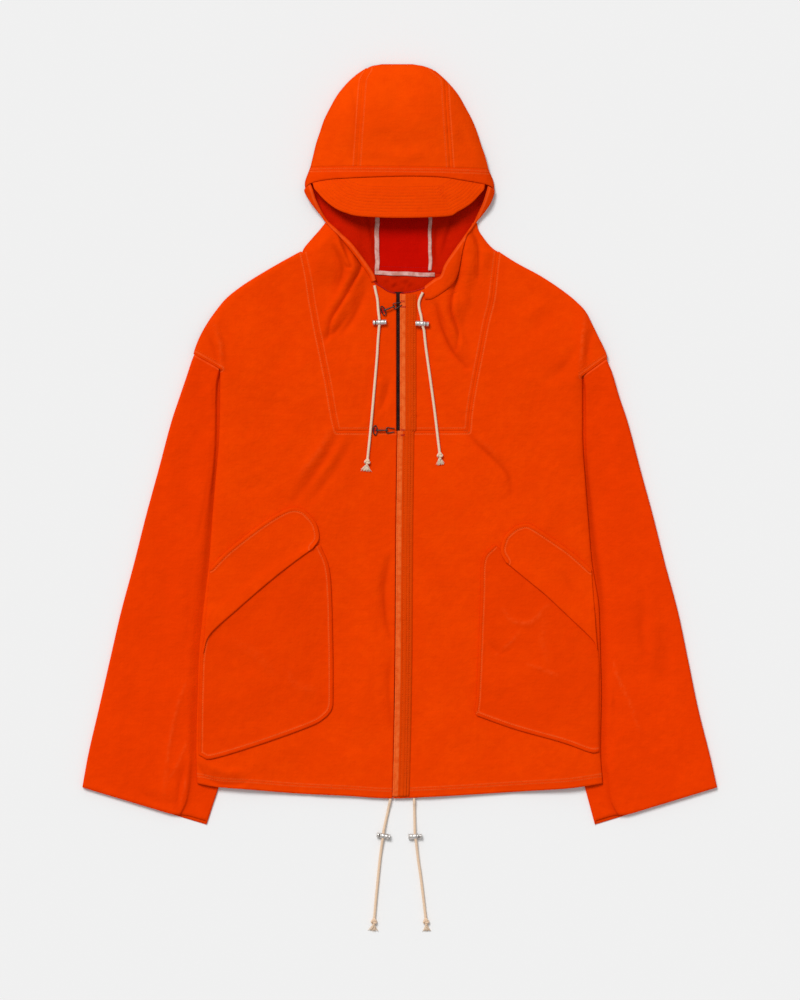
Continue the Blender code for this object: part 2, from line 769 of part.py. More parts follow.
def make_centre_front(surface, parts, cloth, light, dark):
    """Zip tape under the edges, then the placket and its light binding on the left front."""
    levels = [198, 184, 159, 130, 98, 58, 19, -25, -70, -115, -160, -205, -250, -295, -334]
    rows = []
    for y in levels:
        edge = 0.0 if y > CHEST_SEAM else binding_edge(y)
        row = []
        for x in spread(edge - 9.0, edge + 5.0, 2):
            row.append((x, y, under(x, y) + CLOTH + LAYER + 0.6))
        rows.append(row)
    sheet("zip_tape", rows, TAPE_CLOTH, dark, parts)
    chest = [195, 184, 172, 159, 145, 130, 116, 98, 79, 58, 37, CHEST_SEAM + SEAM]
    body = [CHEST_SEAM - SEAM, -25, -70, -115, -160, -205, -250, -295, -340, -380, -415, -438, -457]
    pieces = []

    def chest_binding(y):
        return 0.3, 7.0

    def chest_placket(y):
        return 7.3, 20.8

    def body_binding(y):
        return binding_edge(y) + 0.3, binding_edge(y) + 6.6

    def body_placket(y):
        return binding_edge(y) + 6.9, binding_edge(y) + 21.4

    chest_pieces = (("binding_chest", chest_binding, light), ("placket_chest", chest_placket, cloth))
    body_pieces = (("binding_body", body_binding, light), ("placket_body", body_placket, cloth))
    for name, edges, material in chest_pieces:
        pieces.append(strip(name, surface, edges, chest, 2, CLOTH, material, parts))
    for name, edges, material in body_pieces:
        pieces.append(strip(name, surface, edges, body, 2, CLOTH, material, parts))
    return pieces


def pocket_edges(side):
    """The pocket's four edges, as bottom, top, side and inner edge, all in plan."""
    if side == "right":
        bottom = [(-261.6, -402), (-256, -405.5), (-241.8, -407.3), (-176.8, -387.4)]
        bottom += [(-114.4, -364.7), (-95.5, -353)]
        inner = [bottom[-1], (-88.6, -342.6), (-87.4, -323), (-87.9, -252), (-91.5, -167), (-104, -130)]
        top = [(-246, -224), (-172, -170), inner[-1]]
        outer = [bottom[0], (-260.3, -323), (-257.5, -268), top[0]]
    else:
        bottom = [(258, -399), (252, -400), (243.1, -398.2), (209.3, -386.1), (149.1, -369.3)]
        bottom += [(100, -352)]
        inner = [bottom[-1], (97.4, -345), (99.8, -323), (104.7, -203.5), (107.1, -150), (122, -130)]
        top = [(247, -216), (180, -178), inner[-1]]
        outer = [bottom[0], (258.3, -323), (257.2, -268), top[0]]
    return bottom, top, outer, inner


def flap_edges(side):
    """The flap's long lower and upper edges, from the body's side inwards, and its two ends."""
    if side == "right":
        lower = [(-255.5, -271), (-247, -246.3), (-213.2, -215.2), (-172, -179.4), (-138.3, -152.8)]
        lower += [(-113, -134.5)]
        upper = [(-246, -160.2), (-224.9, -138.5), (-188.9, -109.9), (-159.9, -90.4), (-139.6, -82)]
        upper += [(-123.9, -85.2)]
        end = [lower[-1], (-105.5, -122), (-109.5, -102), upper[-1]]
    else:
        lower = [(255.8, -265.9), (250, -253), (221, -225), (189.8, -195.7), (161.2, -172.2)]
        lower += [(137.5, -152.5)]
        upper = [(248.2, -162.5), (221, -138.5), (189.8, -116.9), (172.9, -106), (163.5, -103)]
        upper += [(150, -106.5)]
        end = [lower[-1], (131, -138), (136.5, -119), upper[-1]]
    return lower, upper, [lower[0], upper[0]], end


def make_pockets(side, front, parts, cloth):
    """A patch pocket on the front and the slanting flap over its mouth."""
    base = Surface([front])

    def on_front(x, y):
        return base.top(x, y, 1.5) + LAYER

    bottom, top, outer, inner = pocket_edges(side)
    rows = patch(bottom, top, outer, inner, 10, 9)
    pocket = sheet(f"pocket_{side}", at_height(rows, on_front), CLOTH, cloth, parts)
    both = Surface([front, pocket])

    def on_pocket(x, y):
        return both.top(x, y, 12.0) + LAYER

    lower, upper, start, end = flap_edges(side)
    rows = patch(lower, upper, start, end, 12, 4)
    return pocket, sheet(f"pocket_flap_{side}", at_height(rows, on_pocket), CLOTH, cloth, parts)


def make_tapes(surface, parts, tape):
    """The white tapes over the seams inside the hood."""
    levels = [226.4, 245, 266, 289, 312, 330]

    def right_edges(y):
        return -32.4, -27.4

    def left_edges(y):
        return 37.2, 40.8

    strip("seam_tape_right", surface, right_edges, levels, 1, TAPE_CLOTH, tape, parts)
    strip("seam_tape_left", surface, left_edges, levels, 1, TAPE_CLOTH, tape, parts)
    rows = []
    for lift in (225.6, 220.8):
        row = []
        for x in spread(-32.5, 45.0, 4):
            y = lift - (x + 32.5) * 0.037
            row.append((x, y, surface.top(x, y, 1.0) + LAYER))
        rows.append(row)
    sheet("seam_tape_neck", rows, TAPE_CLOTH, tape, parts)


def tube(name, route, diameter, material, parts, cyclic=False):
    """A round wire or cord along plain points."""
    curve = bpy.data.curves.new(name, "CURVE")
    curve.dimensions = "3D"
    curve.bevel_depth = diameter / 2 * MM
    curve.bevel_resolution = 2
    curve.use_fill_caps = True
    line = curve.splines.new("POLY")
    line.points.add(len(route) - 1)
    for point, place in zip(line.points, route):
        point.co = (*(Vector(place) * MM), 1.0)
    line.use_cyclic_u = cyclic
    line.use_smooth = True
    curve.materials.append(material)
    obj = bpy.data.objects.new(name, curve)
    parts.objects.link(obj)
    return obj


def smooth_route(points, step):
    """Points about a step apart on a smooth curve through the route's own points."""
    points = [Vector(point) for point in points]
    ends = [points[0] * 2 - points[1], *points, points[-1] * 2 - points[-2]]
    route = []
    for a, b, c, d in zip(ends, ends[1:], ends[2:], ends[3:]):
        pieces = max(1, round((c - b).length / step))
        for i in range(pieces):
            t = i / pieces
            route.append(
                0.5 * (2 * b + (c - a) * t + (2 * a - 5 * b + 4 * c - d) * t**2)
                + 0.5 * (3 * b - a - 3 * c + d) * t**3
            )
    return [*route, points[-1]]


def turned(name, profile, place, towards, material, parts):
    """A turned solid: (radius, height) down its outer side, its axis laid along a direction."""
    mesh = bpy.data.meshes.new(name)
    verts = [Vector((radius, 0.0, height)) * MM for radius, height in profile]
    mesh.from_pydata(verts, [(i, i + 1) for i in range(len(verts) - 1)], [])
    obj = add_object(name, mesh, material, parts)
    obj.matrix_world = Matrix.Translation(Vector(place) * MM) @ (
        Vector(towards).to_track_quat("Z", "Y").to_matrix().to_4x4()
    )
    screw = obj.modifiers.new("turn", "SCREW")
    screw.steps = TURN_STEPS
    screw.render_steps = TURN_STEPS
    screw.use_merge_vertices = True
    screw.merge_threshold = 0.00001
    screw.use_smooth_shade = True
    return obj


BARREL_PROFILE = (
    (0.0, BARREL_LENGTH / 2 - BORE_DEPTH),
    (BORE_RADIUS, BARREL_LENGTH / 2 - BORE_DEPTH),
    (BORE_RADIUS, BARREL_LENGTH / 2),
    (BARREL_RADIUS - 0.4, BARREL_LENGTH / 2),
    (BARREL_RADIUS, BARREL_LENGTH / 2 - 0.4),
    (BARREL_RADIUS, -BARREL_LENGTH / 2 + 2.2),
    (BARREL_RADIUS - 0.35, -BARREL_LENGTH / 2 + 1.9),
    (BARREL_RADIUS - 0.35, -BARREL_LENGTH / 2 + 1.6),
    (BARREL_RADIUS, -BARREL_LENGTH / 2 + 1.3),
    (BARREL_RADIUS, -BARREL_LENGTH / 2 + 0.4),
    (BARREL_RADIUS - 0.4, -BARREL_LENGTH / 2),
    (0.0, -BARREL_LENGTH / 2),
)
PLUNGER_PROFILE = (
    (0.0, HEAD_LENGTH),
    (HEAD_RADIUS - 0.6, HEAD_LENGTH),
    (HEAD_RADIUS, HEAD_LENGTH - 0.6),
    (HEAD_RADIUS, 0.4),
    (HEAD_RADIUS - 0.4, 0.0),
    (STEM_RADIUS, 0.0),
    (STEM_RADIUS, -NECK_LENGTH - STEM_DEPTH),
    (0.0, -NECK_LENGTH - STEM_DEPTH),
)
KNOT_PROFILE = (
    (0.0, 0.0),
    (1.6, 0.0),
    (KNOT_RADIUS * 0.86, -1.4),
    (KNOT_RADIUS, -3.2),
    (KNOT_RADIUS * 0.86, -5.0),
    (1.7, -6.6),
    (1.8, -8.6),
    (2.3, -11.5),
    (2.7, -KNOT_LENGTH),
    (0.0, -KNOT_LENGTH),
)

Lace = namedtuple("Lace", "name above lock tilt head below")
LACES = (
    Lace(
        "hood_cord_right",
        ((-33.2, 206.5), (-31.2, 197), (-29.3, 187.8), (-28.3, 175), (-27.2, 165)),
        (-26.6, 158.6),
        2.0,
        -1.0,
        ((-27.4, 150.7), (-28.8, 132), (-29.9, 113.8), (-33.8, 68.2), (-37.7, 24.7), (-42.2, -19)),
    ),
    Lace(
        "hood_cord_left",
        ((29.6, 197.5), (25.6, 189), (24.4, 182.7), (25.2, 175.5), (27.3, 167)),
        (28.8, 156.8),
        -3.0,
        1.0,
        ((31.2, 148.1), (33.8, 124.2), (39.8, 81.2), (45.1, 42.2), (49.1, 8.5), (51.4, -10.5)),
    ),
    Lace(
        "hem_cord_right",
        ((-12.5, -460.4), (-15.6, -476), (-19.2, -492), (-21.4, -502.5)),
        (-21.6, -508.6),
        -10.0,
        -1.0,
        ((-23, -515), (-26, -538), (-28.6, -563), (-31.4, -592), (-33.5, -616.5)),
    ),
    Lace(
        "hem_cord_left",
        ((18.3, -459.8), (18.7, -476), (19.0, -490), (19.2, -503.5)),
        (19.6, -509.2),
        2.0,
        1.0,
        ((20.8, -516), (23.4, -538), (27, -563), (30.6, -592), (33.4, -616.5)),
    ),
)


def make_laces(surface, parts, cord, metal):
    """Four cords, each with its sprung cord lock and a knot with a frayed tail."""
    radius = CORD / 2

    def rest(x, y, lift):
        return surface.top(x, y, radius) + lift + LAYER

    for lace in LACES:
        on_floor = lace.name.startswith("hem")
        lock_x, lock_y = lace.lock
        lean = math.radians(lace.tilt)
        axis = Vector((lace.head * math.cos(lean), lace.head * math.sin(lean), 0.0))
        spots = [Vector(lace.lock) + axis.xy * offset for offset in spread(-8.5, 8.5, 6)]
        lock_z = max(rest(spot.x, spot.y, BARREL_RADIUS) for spot in spots)
        middle = Vector((lock_x, lock_y, lock_z)) - axis * (HEAD_LENGTH + NECK_LENGTH) / 2
        turned(f"{lace.name}_lock", BARREL_PROFILE, middle, axis, metal, parts)
        head = middle + axis * (BARREL_LENGTH / 2 + NECK_LENGTH)
        turned(f"{lace.name}_lock_plunger", PLUNGER_PROFILE, head, axis, metal, parts)
        upper = []
        for count, (x, y) in enumerate(lace.above):
            z = rest(x, y, radius)
            if on_floor and count == 0:
                z = 3.2
            upper.append(Vector((x, y, z)))
        upper[-1].z = lock_z
        upper[-1].y = lock_y + BARREL_RADIUS + SEAM + 0.1
        tube(f"{lace.name}_above", smooth_route(upper, CORD_STEP), CORD, cord, parts)
        lower = [Vector((x, y, rest(x, y, radius))) for x, y in lace.below]
        lower[0].z = lock_z
        lower[0].y = lock_y - BARREL_RADIUS - SEAM - 0.1
        tube(f"{lace.name}_below", smooth_route(lower, CORD_STEP), CORD, cord, parts)
        tail = (lower[-1] - lower[-2]).normalized()
        start = lower[-1] + tail * SEAM
        start.z = rest(start.x, start.y, KNOT_RADIUS)
        tail.z = 0.0
        turned(f"{lace.name}_knot", KNOT_PROFILE, start, -tail, cord, parts)


Clasp = namedtuple("Clasp", "name eye_x eye_y turn")
CLASPS = (Clasp("clasp_neck", -21.6, 173.6, 22.0), Clasp("clasp_chest", -32.1, 18.4, 0.0))
EYE_POINTS = 14
EYE_HALF_WIDTH = 2.6
EYE_HALF_LENGTH = 6.2
ROD_START = 1.6
ROD_LENGTH = 16.5
LINK_HALF = 3.6
LINK_LENGTH = 10.5


def make_clasps(surface, parts, dark):
    """Two fastened clasps: a sewn wire eye, a rod hooked in it and a wire link to the placket."""
    for clasp in CLASPS:
        turn = Matrix.Rotation(math.radians(clasp.turn), 2)
        centre = Vector((clasp.eye_x, clasp.eye_y))
        reach = [Vector((-3, 0)), Vector((4, 0)), Vector((10, 0)), Vector((18, 0)), Vector((22, 0))]
        spots = [centre + turn @ offset for offset in reach]
        base = max(surface.top(spot.x, spot.y, 4.5) for spot in spots) + LAYER

        def place(x, y, z):
            spot = centre + turn @ Vector((x, y))
            return Vector((spot.x, spot.y, base + z))

        level = EYE_WIRE / 2
        ring = []
        for i in range(EYE_POINTS):
            angle = math.tau * i / EYE_POINTS
            ring.append(place(EYE_HALF_WIDTH * math.cos(angle), EYE_HALF_LENGTH * math.sin(angle), level))
        tube(f"{clasp.name}_eye", ring, EYE_WIRE, dark, parts, cyclic=True)
        over = EYE_WIRE + SEAM + ROD / 2
        rod = [place(ROD_START - 1.2 + i * ROD_LENGTH / 6, 0.0, over) for i in range(7)]
        tube(f"{clasp.name}_rod", rod, ROD, dark, parts)
        start = ROD_START + ROD_LENGTH - 3.6
        link = []
        for x, y in ((LINK_LENGTH, 2.0), (5.0, 3.0), (1.2, LINK_HALF), (0.0, 2.2), (-0.3, 0.0)):
            link.append(place(start + x, y, level))
        for x, y in ((0.0, -2.2), (1.2, -LINK_HALF), (5.0, -3.0), (LINK_LENGTH, -2.0)):
            link.append(place(start + x, y, level))
        tube(f"{clasp.name}_link", link, LINK_WIRE, dark, parts)


def main():
    clear_scene()
    parts = make_collection("raincoat")
    cloth = principled("orange_cloth", CLOTH_COLOUR, 0.75)
    inside = principled("hood_inside", INSIDE_COLOUR, 0.8)
    light = principled("binding_cloth", BINDING_COLOUR, 0.7)
    tape = principled("seam_tape", TAPE_COLOUR, 0.8)
    cord = principled("cord", CORD_COLOUR, 0.85)
    metal = principled("cord_lock_metal", METAL_COLOUR, 0.3, 1.0)
    dark = principled("clasp_metal", DARK_METAL_COLOUR, 0.4, 1.0)
    zip_dark = principled("zip_tape", ZIP_COLOUR, 0.8)

    back = make_back(parts, cloth)
    hood_back = make_hood_back(parts, inside)
    fronts = {side: make_front(side, parts, cloth) for side in SIDES}
    chests = {side: make_chest(side, parts, cloth) for side in SIDES}
    for side in SIDES:
        make_sleeve(side, parts, cloth)
        make_pockets(side, fronts[side], parts, cloth)
        make_opening_hem(side, chests[side], parts, cloth)
    make_crown(parts, cloth)
    make_brim(parts, cloth)
    make_tapes(Surface([back, *hood_back]), parts, tape)
    fronts_surface = Surface([*fronts.values(), *chests.values()])
    strips = make_centre_front(fronts_surface, parts, cloth, light, zip_dark)
    upper = [*fronts.values(), *chests.values(), *strips]
    upper += [obj for obj in parts.objects if obj.name.startswith("opening_hem")]
    top_surface = Surface(upper)
    make_clasps(top_surface, parts, dark)
    make_laces(top_surface, parts, cord, metal)


main()
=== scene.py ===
"""The looks of a hooded raincoat laid flat: cloth shells, sewing, cords, metal trim and a studio.

Shapes are worked out in millimetres in the coat's own frame: x across it (the wearer's right side
is at -x), y towards the hood, z up from the surface. MM turns them into Blender's metres.
"""

import logging
import math
from dataclasses import dataclass, field
from enum import Enum
from typing import Callable, NamedTuple, Sequence

import bmesh
import bpy
import numpy as np
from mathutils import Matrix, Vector
from mathutils.bvhtree import BVHTree


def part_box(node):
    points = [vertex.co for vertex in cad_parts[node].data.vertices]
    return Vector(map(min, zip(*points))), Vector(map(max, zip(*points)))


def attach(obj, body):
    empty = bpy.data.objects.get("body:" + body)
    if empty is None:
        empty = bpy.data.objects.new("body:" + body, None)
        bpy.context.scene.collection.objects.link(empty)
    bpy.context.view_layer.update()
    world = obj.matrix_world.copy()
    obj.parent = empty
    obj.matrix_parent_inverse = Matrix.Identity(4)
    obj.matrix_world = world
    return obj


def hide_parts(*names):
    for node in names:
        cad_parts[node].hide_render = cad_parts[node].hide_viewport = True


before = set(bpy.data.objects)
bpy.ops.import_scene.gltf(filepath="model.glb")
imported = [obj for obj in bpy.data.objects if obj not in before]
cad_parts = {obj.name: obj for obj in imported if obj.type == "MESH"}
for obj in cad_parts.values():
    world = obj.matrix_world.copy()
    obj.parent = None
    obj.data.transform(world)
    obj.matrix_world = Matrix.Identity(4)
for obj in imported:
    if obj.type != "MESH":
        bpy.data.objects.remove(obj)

LOG = logging.getLogger("raincoat")
MM = 0.001
BODY = "coat"

CLOTH = 1.2
VISOR_CLOTH = 2.2
TAPE_CLOTH = 1.0
LAYER = 0.45
FRONT_LOFT = 3.0
FRONT_ROLL = 14.0
FRONT_FLOOR = 0.35
SLEEVE_FLAT = 3.6
SLEEVE_LIFT = SLEEVE_FLAT + LAYER
SLEEVE_RAMP = 90.0
SLEEVE_CLEAR = 14.0
SLEEVE_TOP_SLOPE = 0.27
HOOD_LIFT = 6.0
HOOD_RISE = 34.0
HOOD_TOP = 493.2
HOOD_CREST = 395.0
HOOD_HALF = 122.0
VISOR_DROP = 5.0
HEM_CLEAR = 4.4
HEM_LEAVES = 289.0
HEM_RISE = 44.0
NECK_SEAM = 222.0
NECK_HALF = 126.2
CHEST_SEAM = 17.5
CORD = 3.5
BARREL_RADIUS = 3.5
HEAD_RADIUS = 3.2
HEAD_LENGTH = 3.2
NECK_LENGTH = 1.3
BARREL_LENGTH = 13.0
BARREL_BORE = 2.5

FAR = 90.0
HOOD_EDGE = 250.0
BODY_END = -440.0
HEM_EASE = -340.0
CROWN_END = 361.2
CROWN_EASE = 400.0
ROLL_ROOM = 34.0
ROLL_STEPS = (0.0, 0.4, 1.1, 2.3, 4.0, 6.5, 10.0, FRONT_ROLL)
HEM_ROWS = (8.6, 12.0)
BRIM_ROWS = (2.4, 5.8)
PLACKET_ROWS = (3.2, 8.2, 11.4)
VISOR_ROWS = tuple(3.0 + 4.0 * row for row in range(10))
POCKET_ROW = 4.2
FLAP_ROW = 4.8
CROWN_ROW = 4.2
BINDING_WIDTH = {"chest": 7.0, "body": 6.6}
PLACKET_END = {"chest": 20.8, "body": 21.4}

PIXEL = 1.3
PHOTO_MIDDLE = (400.0, 444.5)


class Row(NamedTuple):
    """Half widths of an outline at one height."""

    y: float
    right: float
    left: float


class Place(NamedTuple):
    """A place in plan."""

    x: float
    y: float


class Station(NamedTuple):
    """A ring of a sleeve: its share of the way down, its loft and the width of its step."""

    share: float
    loft: float
    step: float


class Crease(NamedTuple):
    """A soft ridge or trough, its route in the photograph's pixels.

    lean makes the side to the left of the route broader and the other steeper; the last value
    lightens it as wear, and a negative height also gives painted shade.
    """

    route: tuple[tuple[float, float], ...]
    width: float
    height: float
    lean: float = 0.0
    worn: float = 0.0


class Side(Enum):
    """The wearer's right, at -x, or left."""

    RIGHT = "right"
    LEFT = "left"

    @property
    def sign(self) -> float:
        """-1 on the right side and 1 on the left."""
        return -1.0 if self is Side.RIGHT else 1.0


HOOD_OUTLINE = (
    Row(HOOD_TOP, 24, 17), Row(490.6, 38, 31), Row(486, 47, 43), Row(479, 57, 52),
    Row(469, 68, 62.5), Row(453, 81, 75.5), Row(437, 90, 84.5), Row(422, 97.5, 92.5),
    Row(406, 103, 99), Row(391, 108, 104), Row(375, 112, 110), Row(359, 116, 114.5),
    Row(344, 121, 118.5), Row(328, 123.5, 122), Row(313, 114.5, 117), Row(297, 101.5, 105.5),
    Row(289, 96.2, 99), Row(281, 101.4, 100.2), Row(266, 114.4, 109.2), Row(253, 124.8, 121),
    Row(250, 126, 126),
)
SHOULDER = (
    Row(250, 128.7, 127.4), Row(235, 156, 151), Row(219, 183.3, 180.7), Row(203, 208, 205.4),
    Row(188, 226.2, 225), Row(172, 239.2, 240.5), Row(157, 249.6, 248.3), Row(141, 258.7, 256.1),
    Row(125, 265.2, 264), Row(118, 267.3, 267), Row(110, 270.4, 269.2), Row(94, 275.6, 275.6),
    Row(63, 286, 284.7), Row(32, 296.4, 295.1), Row(-31, 313.3, 312), Row(-93, 330.2, 328.9),
    Row(-155, 345.8, 344.5), Row(-218, 362.7, 361.4), Row(-280, 377, 374.4),
    Row(-343, 391.3, 387.4), Row(-405, 405.6, 403), Row(-445, 412.8, 412.1),
)
SLEEVE_SEAM = {
    Side.RIGHT: (Place(267.3, 117.7), Place(232.7, 98.2)),
    Side.LEFT: (Place(268.6, 112.5), Place(236.1, 89.0)),
}
BODY_SIDE = (
    Row(98.2, 232.7, 234.9), Row(89, 232.8, 236.1), Row(15, 234, 236.1), Row(-49, 239.2, 239.9),
    Row(-103, 243.6, 244), Row(-150, 247, 247.9), Row(-215, 254.8, 257.6),
    Row(-268, 260, 259.2), Row(-323, 262.2, 260.3), Row(-396, 263.9, 259.2),
    Row(-440, 262.8, 262.2),
)
SLEEVE_STEP = (
    Row(110, 234.5, 238), Row(60, 236.8, 238.8), Row(15, 237.4, 239), Row(-103, 246.6, 247),
    Row(-215, 257.8, 260.6), Row(-323, 265.2, 263.3), Row(-405, 267.6, 262.8),
    Row(-431, 269.8, 267.2), Row(-465, 275.3, 272.1), Row(-494, 289, 287),
)
SLEEVE_INNER = (Row(75, 108, 108), Row(-446.6, 236, 240.5), Row(-493.7, 251.4, 253.2))
CUFF_Y = -445.2
CHEST_SIDE = (
    Row(250, 126, 126), Row(220, 119.6, 122.6), Row(192, 115.6, 119.6), Row(159, 109.6, 111.8),
    Row(116, 100.9, 103.4), Row(79, 93.4, 96.2), Row(37, 86.2, 89.7), Row(CHEST_SEAM, 81.9, 88.4),
)
OPENING = (
    Row(289, 93.4, 94.8), Row(281, 86, 91.4), Row(266, 69.8, 82), Row(253, 58.2, 72.4),
    Row(235, 45.4, 60.4), Row(220, 36, 53.4), Row(211, 32, 40.5), Row(204, 22, 31),
    Row(199, 14, 17), Row(196, 5.4, 0.4), Row(192, 5.2, 0.2), Row(CHEST_SEAM, 5.2, 0.2),
)
BINDING_EDGE = (
    Place(-3.1, CHEST_SEAM), Place(-4.8, -114), Place(-5.9, -280), Place(-9.1, -445),
    Place(-9.8, -460),
)
HEM = (
    Place(-263, -440), Place(-235, -445.2), Place(-195, -448), Place(-135, -453),
    Place(-73, -456), Place(-10, -459.5), Place(31, -458), Place(94, -454.5),
    Place(156, -450.5), Place(218, -446.5), Place(263, -440),
)
BRIM_TOP = (
    Place(-115.4, 360.4), Place(-60, 360.2), Place(0, 359.6), Place(60, 358.8),
    Place(113.8, 357.4),
)
VISOR_EDGE = (
    (-110.4, 332.4), (-96.9, 317.3), (-83.6, 306.9), (-70.2, 300.9), (-51.2, 296.3),
    (0, 294.2), (59.8, 296.3), (74.1, 302.2), (92.3, 313.9), (108, 331),
)
CROWN_SEAM = (Row(486, 41, 42), Row(471, 48, 57.5), Row(440, 50.5, 59.5), Row(359, 56, 65))
SLEEVE_STATIONS = (
    Station(0.0, 9.6, 3), Station(0.04, 9.0, 7), Station(0.1, 7.9, 14), Station(0.18, 7.0, 14),
    Station(0.27, 6.5, 14), Station(0.37, 6.2, 14), Station(0.67, 6.1, 13),
    Station(0.77, 6.1, 11), Station(0.85, 6.2, 9), Station(0.915, 6.2, 6), Station(0.96, 6.2, 4),
    Station(1.0, 6.2, 3),
)


class Fold(NamedTuple):
    """A ridge that the solids have too, from one end to the other, in millimetres."""

    x0: float
    y0: float
    x1: float
    y1: float
    width: float
    height: float


FOLD_TAPER = 24.0
FOLDS = (
    Fold(-243, 168, -229, 92, 9, 2.4), Fold(239, 172, 231, 84, 9, 2.4),
    Fold(-56, 226, -92, 152, 11, 2.6), Fold(-83, 262, -66, 236, 9, 1.8),
    Fold(72, 246, 68, 182, 10, 2.4), Fold(68, 182, 76, 120, 11, 2.2),
    Fold(48, 186, 58, 138, 9, 1.6),
)

